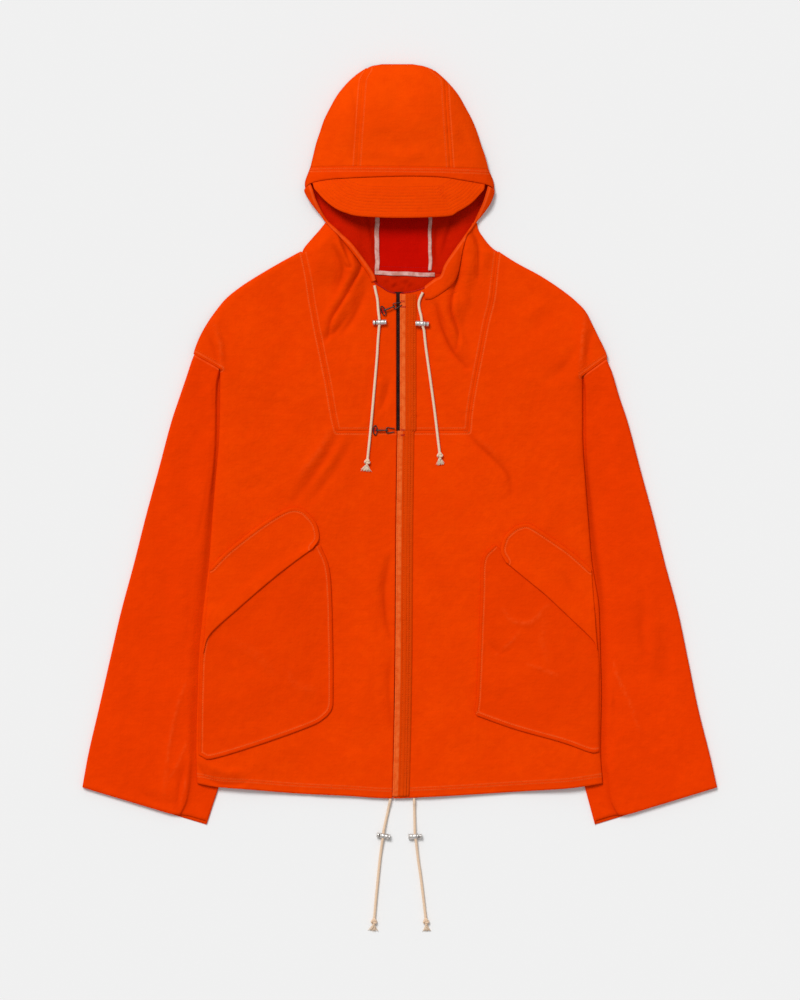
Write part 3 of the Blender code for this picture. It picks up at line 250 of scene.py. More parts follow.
# Creases that the photograph shows, of the fronts and chest first.
FRONT_CREASES = (
    Crease(((338, 232), (350.5, 267)), 2.6, -2.0, 0.4),
    Crease(((345, 264), (349, 267.5), (352, 265)), 1.8, -1.0),
    Crease(
        ((342, 238), (359, 261), (360.5, 269), (351, 287), (339.8, 306), (331, 321), (328, 338)),
        3.4, -2.9, -0.5
    ),
    Crease(((338, 244), (353, 266), (346, 285), (334, 306), (326, 322)), 6.0, 2.4, 0.3),
    Crease(((372, 250), (358, 285), (346, 312)), 7.0, 0.9),
    Crease(((333, 244), (342, 268), (336, 292)), 5.0, -1.7),
    Crease(((364, 292), (352, 318), (340, 334)), 5.0, -1.7),
    Crease(((346, 316), (336, 330), (326, 336)), 3.5, -1.2),
    Crease(((470, 300), (462, 326), (470, 352)), 6.0, -1.1),
    Crease(((472, 234), (477, 248), (477, 278)), 3.0, -2.4, 0.3),
    Crease(((467, 240), (469, 262), (466, 286), (466, 312)), 5.0, 1.4),
    Crease(
        ((463, 240), (461, 255), (457, 280), (452.7, 294), (451.4, 311), (458, 332), (456.5, 348)),
        3.4, -2.8, -0.3
    ),
    Crease(((436, 304), (441, 326), (451.4, 350), (466, 367)), 4.2, -2.5, 0.3),
    Crease(((437, 299), (450, 324), (460, 344)), 3.6, 1.5),
    Crease(((428, 316), (432, 340), (441, 362)), 5.0, 1.0),
    Crease(((466, 431), (480, 446), (495, 460), (508, 476), (510, 495)), 5.0, -1.5, 0.2),
    Crease(((474, 436), (487, 447), (500, 462)), 4.5, 1.2, 0.0, 0.15),
    Crease(((462, 440), (478, 462), (486, 488)), 7.0, 1.0),
    Crease(((480, 480), (497, 512), (505, 540)), 8.0, -1.1),
    Crease(((336, 436), (324, 458), (305, 484), (292, 500)), 5.4, -1.5, 0.2),
    Crease(((330, 430), (318, 452), (300, 474)), 5.0, 1.0, 0.0, 0.12),
    Crease(((352, 438), (336, 466), (318, 490), (308, 500)), 6.0, -1.3),
    Crease(((344, 440), (330, 462), (314, 482)), 5.0, 1.0),
    Crease(((388, 382), (385, 396), (381, 408)), 4.0, -1.2),
    Crease(((383, 372), (377, 398), (372, 412)), 6.0, 0.8),
    Crease(((576, 345), (563, 366), (546, 378)), 6.0, -1.3, 0.2),
    Crease(((560, 306), (536, 327), (512, 342)), 8.0, -1.1),
    Crease(((548, 300), (526, 318)), 7.0, 0.9),
    Crease(((498, 268), (492, 300), (488, 330)), 6.0, 0.8),
    Crease(((536, 396), (528, 432), (533, 470)), 12.0, -1.1),
    Crease(((566, 402), (560, 440), (566, 480)), 10.0, 0.9),
    Crease(((556, 500), (548, 520), (530, 540)), 8.0, 1.0),
    Crease(((258, 300), (252, 340), (262, 366)), 10.0, 0.9),
    Crease(((282, 326), (286, 352), (270, 372)), 9.0, -1.1),
    Crease(((232, 336), (236, 366), (246, 392)), 9.0, 0.9),
    Crease(((250, 388), (268, 404), (292, 410)), 8.0, -0.9),
    Crease(((274, 396), (272, 430), (284, 458)), 10.0, -1.2),
    Crease(((240, 430), (246, 458), (262, 478)), 11.0, 0.9),
    Crease(((300, 420), (288, 440), (280, 466)), 8.0, 0.8),
    Crease(((232, 480), (252, 488), (276, 480)), 8.0, -0.9),
    Crease(((376, 480), (366, 512), (370, 548)), 10.0, 0.8),
    Crease(((388, 560), (383, 590), (385, 618), (390, 640)), 4.5, -1.7, 0.2),
    Crease(((374, 566), (370, 600), (374, 636)), 8.0, 1.0),
    Crease(((391, 650), (388, 690), (392, 726)), 5.0, -1.1),
    Crease(((362, 640), (366, 680), (360, 720)), 10.0, 0.8),
    Crease(((340, 560), (350, 600), (344, 640)), 12.0, -0.7),
    Crease(((199, 764), (208, 775), (224, 779), (244, 777)), 4.0, -1.5, 0.2),
    Crease(((203, 760), (222, 767), (246, 768)), 4.0, 1.1),
    Crease(((250, 762), (278, 772), (306, 770)), 7.0, -0.8),
    Crease(((320, 736), (346, 752), (378, 748)), 8.0, 0.7),
    Crease(((444, 460), (436, 492), (442, 524)), 10.0, 0.8),
    Crease(((436, 560), (446, 596), (438, 640)), 12.0, -0.8),
    Crease(((456, 660), (444, 700), (452, 744)), 12.0, 0.8),
    Crease(((470, 744), (510, 752), (548, 766)), 9.0, -0.8),
    Crease(((520, 690), (560, 742), (586, 764)), 9.0, 0.8),
    Crease(((212, 320), (217.9, 332.6), (221.6, 346.8), (222.2, 368)), 2.4, 1.0, -0.3, 0.25),
    Crease(((206, 332), (213, 346), (217.5, 366)), 3.0, -0.9),
    Crease(((585, 312), (581.5, 341), (580.5, 374)), 2.4, 1.0, 0.3, 0.25),
    Crease(((593, 326), (588, 345), (585, 368)), 3.0, -0.9),
    # On the pockets and their flaps.
    Crease(((503, 609), (512, 620), (530, 622), (548, 605)), 3.4, 0.45, 0.0, 0.25),
    Crease(((486, 640), (500, 652), (514, 646)), 4.5, -0.6, 0.3),
    Crease(((496, 655), (508, 644), (519, 632)), 3.0, 0.4, 0.0, 0.2),
    Crease(((528, 664), (542, 669), (557, 675)), 3.0, 0.45, 0.0, 0.3),
    Crease(((489, 692), (499, 699), (509, 691)), 3.4, -0.45, 0.0, 0.1),
    Crease(((544, 620), (542, 640), (548, 662)), 6.0, 0.35, 0.0, 0.08),
    Crease(((562, 690), (560, 716), (566, 738)), 9.0, -0.45),
    Crease(((520, 716), (530, 736), (552, 746)), 9.0, 0.4),
    Crease(((560, 568), (568, 584), (575, 600)), 6.0, -0.6, 0.2),
    Crease(((530, 556), (548, 566), (556, 582)), 7.0, 0.45),
    Crease(((286, 524), (276, 544), (270, 560)), 7.0, -0.45),
    Crease(((258, 540), (272, 552), (292, 548)), 8.0, 0.4),
    Crease(((216, 592), (228, 600), (244, 596)), 8.0, -0.4),
    Crease(((222, 648), (240, 660), (252, 684)), 7.0, -0.5, 0.2),
    Crease(((232, 640), (256, 654), (276, 676)), 8.0, 0.45, 0.0, 0.06),
    Crease(((262, 596), (258, 626), (268, 650)), 9.0, -0.4),
    Crease(((286, 668), (296, 684), (318, 690)), 6.0, 0.4, 0.0, 0.1),
    Crease(((300, 610), (306, 640), (300, 666)), 8.0, 0.35),
    Crease(((216, 706), (234, 722), (262, 726)), 8.0, -0.45),
    Crease(((278, 708), (300, 700), (320, 708)), 7.0, -0.35),
    Crease(((207, 745), (209, 749)), 1.6, -0.25),
)
SLEEVE_CREASES = (
    Crease(((193.6, 668), (179, 702), (170, 743), (163.5, 796)), 2.8, 0.6, -0.2, 0.2),
    Crease(((192, 728), (181, 757), (168, 781)), 2.4, 0.5, 0.0, 0.2),
    Crease(((186, 760), (178, 790), (177, 812)), 3.0, -1.1, 0.2),
    Crease(((190, 762), (184, 790), (180, 806)), 1.8, 0.7, 0.0, 0.25),
    Crease(((198, 430), (186, 470), (190, 520)), 9.0, -1.3),
    Crease(((176, 420), (166, 466), (170, 500)), 10.0, 1.1),
    Crease(((206, 470), (200, 520), (203, 566)), 7.0, 1.0),
    Crease(((158, 560), (166, 604), (158, 650)), 11.0, -1.2),
    Crease(((186, 560), (180, 600), (186, 634)), 9.0, 1.0),
    Crease(((130, 640), (138, 684), (128, 724)), 11.0, -1.0),
    Crease(((156, 690), (150, 730), (154, 770)), 8.0, -1.0),
    Crease(((110, 720), (118, 752), (110, 780)), 10.0, 0.9),
    Crease(((196, 388), (204, 410), (214, 420)), 8.0, -1.1),
    Crease(((208, 384), (216, 404), (219, 430)), 6.0, 1.0),
    Crease(((140, 790), (160, 800), (176, 802)), 5.0, -0.7),
    Crease(((601, 619), (608, 648), (616, 674), (629, 702), (639, 730)), 2.8, 0.7, 0.2, 0.25),
    Crease(((606, 636), (606, 670), (612, 706)), 5.0, -1.2, 0.2),
    Crease(((608, 372), (600, 396), (594, 410)), 8.0, -1.0),
    Crease(((620, 380), (624, 420), (616, 452)), 10.0, 1.1),
    Crease(((598, 430), (606, 470), (602, 510)), 8.0, -1.1),
    Crease(((636, 440), (640, 486), (634, 520)), 10.0, -1.2),
    Crease(((642, 606), (640, 628), (644, 654)), 6.0, -1.3, 0.2),
    Crease(((662, 628), (665, 652), (662, 690)), 7.0, -1.3, 0.2),
    Crease(((652, 600), (653, 640), (652, 680)), 7.0, 1.2),
    Crease(((628, 560), (634, 590), (628, 616)), 9.0, 1.0),
    Crease(((676, 680), (668, 720), (680, 752)), 11.0, 1.0),
    Crease(((640, 740), (652, 762), (680, 770)), 9.0, -0.9),
    Crease(((612, 740), (618, 766), (640, 788)), 7.0, 0.9),
    Crease(((601, 762), (605, 790), (612, 812)), 2.6, -1.1),
)
HOOD_CREASES = (
    Crease(((352, 92), (356, 120), (352, 160)), 3.0, -1.0),
    Crease(((322, 118), (330, 142), (326, 168)), 9.0, -1.6),
    Crease(((338, 96), (344, 122), (340, 150)), 8.0, 1.4),
    Crease(((380, 78), (392, 100), (386, 130)), 11.0, -1.5),
    Crease(((412, 84), (424, 112), (414, 146)), 12.0, 1.5),
    Crease(((372, 132), (398, 144), (428, 138)), 10.0, -1.4),
    Crease(((404, 74), (414, 84), (434, 88)), 7.0, -1.0),
    Crease(((366, 152), (396, 158), (424, 154)), 7.0, 1.0),
    Crease(((458, 100), (466, 126), (460, 156)), 9.0, -1.6),
    Crease(((474, 124), (480, 146), (476, 166)), 7.0, 1.3),
    Crease(((452, 88), (456, 104)), 6.0, 1.0),
)
# Creases inside the hood and at the back's neck. Their lift is clipped at 0, so the troughs change
# no shape and only paint shade.
INSIDE_CREASES = (
    Crease(((352, 222), (362, 244), (372, 262)), 5.0, 1.8),
    Crease(((376, 222), (372, 240), (376, 262)), 5.0, 1.2),
    Crease(((392, 226), (404, 238), (400, 262)), 8.0, 1.6),
    Crease(((420, 226), (414, 244), (420, 264)), 6.0, 1.2),
    Crease(((446, 222), (440, 244), (438, 262)), 6.0, 1.8),
    Crease(((466, 200), (456, 222), (446, 244)), 6.0, 1.6),
    Crease(((330, 200), (342, 220), (354, 236)), 6.0, 1.6),
    Crease(((378, 276), (392, 281), (408, 290)), 3.0, 1.6),
    Crease(((398, 275), (410, 282), (420, 286)), 3.0, 1.6),
    Crease(((384, 281), (398, 287), (404, 292)), 2.2, -2.4),
    Crease(((390, 276), (404, 281), (416, 289)), 2.2, -2.4),
    Crease(((376, 225), (378, 245), (375, 268)), 3.0, -2.0),
    Crease(((436, 225), (434, 246), (435, 266)), 4.0, -2.2),
    Crease(((366, 216), (372, 240), (374, 262)), 4.0, -2.2),
    Crease(((454, 214), (446, 236), (441, 256)), 4.0, -1.8),
)

Array = np.ndarray
Object = bpy.types.Object
Socket = bpy.types.NodeSocket
Material = bpy.types.Material
Colour = tuple[float, float, float]


def ramp(value: Array | float) -> Array:
    """An even rise from 0 to 1, soft at both ends."""
    value = np.clip(value, 0.0, 1.0)
    return value * value * (3.0 - 2.0 * value)


def roll(distance: Array, reach: float) -> Array:
    """A quarter round that rises from 0 at an edge to 1 at reach."""
    left = 1.0 - np.clip(distance / reach, 0.0, 1.0)
    return np.sqrt(1.0 - left * left)


def read(keys: Sequence[float], values: Sequence[float], at: Array | float) -> Array:
    """Reads a smooth curve that never overshoots its points.

    Args:
        keys: where the points are; they run either way.
        values: the points' values.
        at: where to read.

    Returns:
        The values there, held at the ends.
    """
    keys, values = np.asarray(keys, float), np.asarray(values, float)
    if keys[0] > keys[-1]:
        keys, values = keys[::-1], values[::-1]
    at = np.clip(at, keys[0], keys[-1])
    span = np.diff(keys)
    slope = np.diff(values) / span
    product = slope[:-1] * slope[1:]
    total = np.where(product > 0.0, slope[:-1] + slope[1:], 1.0)
    inner = np.where(product > 0.0, 2.0 * product / total, 0.0)
    tangent = np.concatenate([slope[:1], inner, slope[-1:]])
    index = np.clip(np.searchsorted(keys, at, side="left") - 1, 0, len(span) - 1)
    t = (at - keys[index]) / span[index]
    blend = t * t * (3.0 - 2.0 * t)
    value = values[index] * (1.0 - blend) + values[index + 1] * blend
    ease = t * (1.0 - t) ** 2 * tangent[index] - t * t * (1.0 - t) * tangent[index + 1]
    return value + span[index] * ease


def half_width(table: Sequence[Row], side: Side, y: Array | float) -> Array:
    """Half width of an outline on one side at heights y."""
    return read([row.y for row in table], [getattr(row, side.value) for row in table], y)


def half_at(table: Sequence[Row], x: Array, y: Array) -> Array:
    """Half width of an outline at heights y, on the side that each x is on."""
    return np.where(x < 0.0, half_width(table, Side.RIGHT, y), half_width(table, Side.LEFT, y))


def binding_edge(y: Array | float) -> Array:
    """Signed x of the binding's outer edge below the chest."""
    return read([p.y for p in BINDING_EDGE], [p.x for p in BINDING_EDGE], y)


def along_places(table: Sequence[Place], x: Array | float) -> Array:
    """y of a line of places at x."""
    return read([p.x for p in table], [p.y for p in table], x)


def body_half(side: Side, y: Array) -> Array:
    """Half width of the body: shoulder, then the sleeve's seam, then the side.

    Args:
        side: which side it is on.
        y: places up the plan, in mm.

    Returns:
        Half widths in mm.
    """
    top, bottom = SLEEVE_SEAM[side]
    share = np.clip((top.y - y) / (top.y - bottom.y), 0.0, 1.0)
    seam = top.x * (1 - share) + bottom.x * share
    below = np.where(y >= bottom.y, seam, half_width(BODY_SIDE, side, y))
    return np.where(y >= top.y, half_width(SHOULDER, side, y), below)


def armhole(side: Side) -> Array:
    """The sleeve's seam in plan, from its outer end to the underarm."""
    return np.array([(side.sign * place.x, place.y) for place in SLEEVE_SEAM[side]])


def outer_fold(x: Array, y: Array) -> Array:
    """Half width of the fold that the upper layer rolls down to.

    Args:
        x: places across, in mm.
        y: places up the plan, in mm.

    Returns:
        Half widths in mm.
    """
    seam = np.where(x < 0.0, SLEEVE_SEAM[Side.RIGHT][1].y, SLEEVE_SEAM[Side.LEFT][1].y)
    body = np.where(y >= seam, half_at(SHOULDER, x, y), half_at(BODY_SIDE, x, y))
    return np.where(y > HOOD_EDGE, half_at(HOOD_OUTLINE, x, y), body)


def underside(x: Array, y: Array) -> Array:
    """Height of the lowest layer's underside: it rises over the sleeves and in the hood.

    Args:
        x: places across, in mm.
        y: places up the plan, in mm.

    Returns:
        Heights in mm.
    """
    across = np.abs(x)
    first = SLEEVE_INNER[0]
    inner = half_at(SLEEVE_INNER, x, y)
    sleeve_top = first.y + SLEEVE_TOP_SLOPE * np.maximum(0.0, across - first.right)
    over = ramp((across - inner + SLEEVE_RAMP + SLEEVE_CLEAR) / SLEEVE_RAMP)
    below = ramp((sleeve_top + SLEEVE_RAMP + SLEEVE_CLEAR - y) / SLEEVE_RAMP)
    rise = ramp((across - 46.0) / np.maximum(18.0, half_at(OPENING, x, y) - 50.0))
    fall = ramp((half_at(HOOD_OUTLINE, x, y) - across) / 22.0)
    window = ramp((y - 200.0) / 40.0) * ramp((326.0 - y) / 40.0)
    return SLEEVE_LIFT * over * below + HOOD_LIFT * rise * fall * window


def folds(x: Array, y: Array) -> Array:
    """Sum of the solids' own soft ridges, each fading out at its ends.

    Args:
        x: places across, in mm.
        y: places up the plan, in mm.

    Returns:
        Heights in mm.
    """
    total = np.zeros_like(x)
    for fold in FOLDS:
        run = np.array([fold.x1 - fold.x0, fold.y1 - fold.y0])
        length = np.hypot(*run)
        on = ((x - fold.x0) * run[0] + (y - fold.y0) * run[1]) / length
        aside = np.abs((x - fold.x0) * run[1] - (y - fold.y0) * run[0]) / length
        ends = ramp((on + FOLD_TAPER) / FOLD_TAPER)
        ends *= ramp((length + FOLD_TAPER - on) / FOLD_TAPER)
        total += fold.height * np.exp(-((aside / fold.width) ** 2)) * ends
    return total


def arch(x: Array, y: Array) -> Array:
    """Height of the underside of the hood's upper half.

    Args:
        x: places across, in mm.
        y: places up the plan, in mm.

    Returns:
        Heights in mm.
    """
    half = np.where(y > 328.0, half_at(HOOD_OUTLINE, x, y), HOOD_HALF)
    across = np.minimum(1.0, np.abs(x) / half)
    back = np.maximum(0.0, (y - HOOD_CREST) / (HOOD_TOP - HOOD_CREST))
    crest = np.sqrt(np.maximum(0.0, 1.0 - back * back)) * HOOD_RISE
    drop = VISOR_DROP * ramp((348.0 - y) / 56.0)
    return CLOTH + LAYER + (crest - drop) * np.sqrt(np.maximum(0.0, 1.0 - across * across))


def from_photo(route: Sequence[tuple[float, float]]) -> Array:
    """Places in plan of points in the photograph's pixels."""
    pixels = np.asarray(route, float)
    return np.stack([pixels[:, 0] - PHOTO_MIDDLE[0], PHOTO_MIDDLE[1] - pixels[:, 1]], 1) * PIXEL


def to_line(x: Array, y: Array, line: Array) -> tuple[Array, Array, Array, float]:
    """Measures places against a chain of points in plan.

    Args:
        x: across, any shape.
        y: along, the same shape.
        line: the chain, points by 2.

    Returns:
        The distance, the side (1 to the left of the run, -1 to the right), how far along the
        nearest place is, and the chain's length.
    """
    best = np.full(np.shape(x), np.inf)
    hand = np.zeros(np.shape(x))
    on = np.zeros(np.shape(x))
    done = 0.0
    for a, b in zip(line, line[1:]):
        run = b - a
        length = max(1e-6, float(np.hypot(*run)))
        t = np.clip(((x - a[0]) * run[0] + (y - a[1]) * run[1]) / length**2, 0.0, 1.0)
        gap = np.hypot(x - a[0] - t * run[0], y - a[1] - t * run[1])
        cross = run[0] * (y - a[1]) - run[1] * (x - a[0])
        near = gap < best
        best = np.where(near, gap, best)
        hand = np.where(near, np.sign(cross), hand)
        on = np.where(near, done + t * length, on)
        done += length
    return best, hand, on, done


def smooth_chain(points: Sequence[Sequence[float]], cells: int = 8) -> Array:
    """More points on a smooth curve through a chain's own points.

    Args:
        points: the chain's own points.
        cells: steps between two of them.

    Returns:
        The longer chain.
    """
    points = np.asarray(points, float)
    if len(points) < 3:
        return points
    ends = np.concatenate([[2 * points[0] - points[1]], points, [2 * points[-1] - points[-2]]])
    out = []
    for a, b, c, d in zip(ends, ends[1:], ends[2:], ends[3:]):
        for t in np.arange(cells) / cells:
            first = 0.5 * (2 * b + (c - a) * t + (2 * a - 5 * b + 4 * c - d) * t**2)
            out.append(first + 0.5 * (3 * b - a - 3 * c + d) * t**3)
    return np.array([*out, points[-1]])


def at_shares(line: Array, shares: Array) -> Array:
    """Places at shares of the way along a chain."""
    lengths = np.concatenate([[0.0], np.cumsum(np.linalg.norm(np.diff(line, axis=0), axis=1))])
    return np.stack(
        [np.interp(shares * lengths[-1], lengths, line[:, k]) for k in range(line.shape[1])], -1
    )


def spaced(line: Array, step: float) -> Array:
    """The chain with its points about a step apart."""
    length = np.linalg.norm(np.diff(line, axis=0), axis=1).sum()
    return at_shares(line, np.linspace(0.0, 1.0, max(2, round(length / step) + 1)))


def beside(line: Array, offset: float) -> Array:
    """The chain moved to its left by offset.

    Args:
        line: the chain.
        offset: how far, in mm; less than 0 is to its right.

    Returns:
        The moved chain.
    """
    run = np.gradient(line, axis=0)
    run /= np.linalg.norm(run, axis=1, keepdims=True)
    return line + np.stack([-run[:, 1], run[:, 0]], 1) * offset


def patch(
    bottom: Sequence, top: Sequence, left: Sequence, right: Sequence, across: int, up: int
) -> Array:
    """Fills in between four smooth edges that share their corners.

    Args:
        bottom: from the left corner to the right one.
        top: the same for the far edge.
        left: from the bottom to the top.
        right: the same at the other end.
        across: cells from left to right.
        up: cells from bottom to top.

    Returns:
        Plan places, rows by columns by 2.
    """
    bottom, top, left, right = (smooth_chain(chain) for chain in (bottom, top, left, right))
    s, t = np.linspace(0, 1, across + 1), np.linspace(0, 1, up + 1)
    low, high = at_shares(bottom, s)[None], at_shares(top, s)[None]
    near, far = at_shares(left, t)[:, None], at_shares(right, t)[:, None]
    s, t = s[None, :, None], t[:, None, None]
    corners = (
        bottom[0] * (1 - s) + bottom[-1] * s
    ) * (1 - t) + (top[0] * (1 - s) + top[-1] * s) * t
    return low * (1 - t) + high * t + near * (1 - s) + far * s - corners


def stops(places: Sequence[float], step: float) -> Array:
    """Levels about a step apart that keep every given place.

    Args:
        places: the levels to keep, in their order.
        step: the distance to aim for, in mm.

    Returns:
        All levels in the same order.
    """
    out = [float(places[0])]
    for a, b in zip(places, places[1:]):
        out += list(np.linspace(a, b, max(1, round(abs(b - a) / step)) + 1)[1:])
    return np.array(out)


@dataclass(frozen=True)
class Relief:
    """The lie of the cloth: its placed creases and a low uneven swell, with light wear on crests
    and painted shade in troughs.
    """

    creases: tuple[Crease, ...]
    swell: float
    seed: int
    gain: float = 1.4
    cells: tuple[tuple[float, float], ...] = ((64.0, 1.0), (31.0, 0.62), (15.0, 0.34), (8.0, 0.16))
    table: int = 64
    narrow: float = 0.5
    broad_from: float = 4.5
    broad_over: float = 3.0
    broad_height: float = 0.58
    broad_shade: float = 0.1
    shade: float = 0.27
    darkest: float = -0.72

    def noise(self, x: Array, y: Array, cell: float, seed: int) -> Array:
        """Smooth random heights from -1 to 1 on a grid of cells.

        Args:
            x: places across, in mm.
            y: places up the plan, in mm.
            cell: the grid's step, in mm.
            seed: which noise.

        Returns:
            Values from -1 to 1.
        """
        values = np.random.default_rng(seed).uniform(-1.0, 1.0, (self.table, self.table))
        u, v = x / cell + 31.7, y / cell + 17.3
        i, j = np.floor(u).astype(int), np.floor(v).astype(int)
        s, t = ramp(u - i), ramp(v - j)
        i, j, k, m = i % self.table, j % self.table, (i + 1) % self.table, (j + 1) % self.table
        low = values[i, j] * (1 - s) + values[k, j] * s
        high = values[i, m] * (1 - s) + values[k, m] * s
        return low * (1 - t) + high * t

    def at(self, x: Array, y: Array) -> tuple[Array, Array]:
        """Reads the relief.

        Args:
            x: across, any shape.
            y: along, the same shape.

        Returns:
            The height to add, in mm, and the cloth's wear and painted shade: up to 1 where wear
            lightens it, below 0 where painted shade darkens a trough.
        """
        height, worn = np.zeros(np.shape(x)), np.zeros(np.shape(x))
        for count, (cell, share) in enumerate(self.cells):
            wave = self.noise(x + 0.35 * y, y - 0.25 * x, cell, self.seed + count)
            height += self.swell * share * (wave if count % 2 else np.abs(wave) * 1.6 - 0.6)
        for crease in self.creases:
            line = smooth_chain(from_photo(crease.route), 5)
            reach = crease.width * PIXEL * 3.2
            low, high = line.min(0) - reach, line.max(0) + reach
            near = (x > low[0]) & (x < high[0]) & (y > low[1]) & (y < high[1])
            if not near.any():
                continue
            gap, hand, on, length = to_line(x[near], y[near], line)
            width = crease.width * PIXEL * (1.0 + crease.lean * hand)
            broad = ramp((crease.width - self.broad_from) / self.broad_over)
            ends = np.sin(np.pi * np.clip((on + 0.12 * length) / (1.24 * length), 0.0, 1.0)) ** 0.8
            shape = np.exp(-((gap / width) ** 2)) * ends
            gain = self.gain * (1.0 - (1.0 - self.broad_height) * broad)
            height[near] += gain * crease.height * shape
            # Along each crease's middle its own wear lightens the cloth, and a trough adds painted
            # shade that darkens it.
            middle = np.exp(-((gap / (self.narrow * width)) ** 2)) * ends
            shade = self.shade * (1.0 - (1.0 - self.broad_shade) * broad) * min(0.0, crease.height)
            worn[near] += (crease.worn + shade) * middle
        return height, np.clip(worn, self.darkest, 1.0)


FRONT_RELIEF = Relief(FRONT_CREASES, 0.75, 11, 2.1)
SLEEVE_RELIEF = Relief(SLEEVE_CREASES, 0.75, 23, 1.8)
HOOD_RELIEF = Relief(HOOD_CREASES, 1.0, 37, 1.7)
INSIDE_RELIEF = Relief(INSIDE_CREASES, 0.5, 41)


@dataclass(frozen=True)
class Calm:
    """Places where trim lies on the cloth, which is smooth there as in the solids."""

    spots: tuple[Place, ...] = (
        Place(-26.6, 158.6), Place(28.8, 156.8), Place(-21.6, 173.6), Place(-12.0, 178.0),
        Place(-32.1, 18.4), Place(-18.0, 18.4),
    )
    reach: float = 13.0

    def at(self, x: Array, y: Array) -> Array:
        """1 where creases are free, 0 where trim lies.

        Args:
            x: places across, in mm.
            y: places up the plan, in mm.

        Returns:
            Shares from 0 to 1.
        """
        free = np.ones(np.shape(x))
        for spot in self.spots:
            free *= 1.0 - np.exp(-((x - spot.x) ** 2 + (y - spot.y) ** 2) / self.reach**2)
        return free


CALM = Calm()


def front_under(x: Array, y: Array) -> tuple[Array, Array]:
    """Underside of the fronts, the chest and the hood's sides.

    Args:
        x: across.
        y: along.

    Returns:
        The height, and the cloth's wear and painted trough shade there.
    """
    height, worn = FRONT_RELIEF.at(x, y)
    inside = roll(outer_fold(x, y) - np.abs(x), FRONT_ROLL)
    loft = FRONT_LOFT + folds(x, y) + height * CALM.at(x, y)
    loft = FRONT_FLOOR + np.logaddexp(0.0, (loft - FRONT_FLOOR) * 1.6) / 1.6
    return underside(x, y) + CLOTH + LAYER + loft * inside, worn


@dataclass
class Made:
    """A built piece with its cloth's area, in square metres."""

    obj: Object
    area: float
    tree: BVHTree = field(repr=False, default=None)


class Surface:
    """The upper surface of built pieces, for what lies on them."""

    def __init__(self, *pieces: Made) -> None:
        """Keeps the pieces' trees."""
        self.trees = [piece.tree for piece in pieces]

    def top(self, x: float, y: float, reach: float = 0.0) -> float:
        """The highest point within reach of a place, or 0 where there is none.

        Args:
            x: the place across, in mm.
            y: the place up the plan, in mm.
            reach: how far round it to look, in mm.

        Returns:
            The height in mm.
        """
        best = 0.0
        steps = (-1.0, 0.0, 1.0) if reach else (0.0,)
        for dx in steps:
            for dy in steps:
                for tree in self.trees:
                    hit = tree.ray_cast(
                        Vector((x + dx * reach, y + dy * reach, 500.0)) * MM, Vector((0, 0, -1))
                    )[0]
                    if hit is not None:
                        best = max(best, hit.z / MM)
        return best

    def tops(self, plan: Array, reach: float = 0.0) -> Array:
        """The same for an array of plan places."""
        flat = plan.reshape(-1, plan.shape[-1])
        return np.array([self.top(p[0], p[1], reach) for p in flat]).reshape(plan.shape[:-1])


def smoothed(heights: Array, passes: int, floor: Array | None = None) -> Array:
    """Evens out a grid of heights, never below the floor."""
    for _ in range(passes):
        padded = np.pad(heights, 1, mode="edge")
        mean = (padded[:-2, 1:-1] + padded[2:, 1:-1] + padded[1:-1, :-2] + padded[1:-1, 2:]) / 4
        heights = mean if floor is None else np.maximum(mean, floor)
    return heights


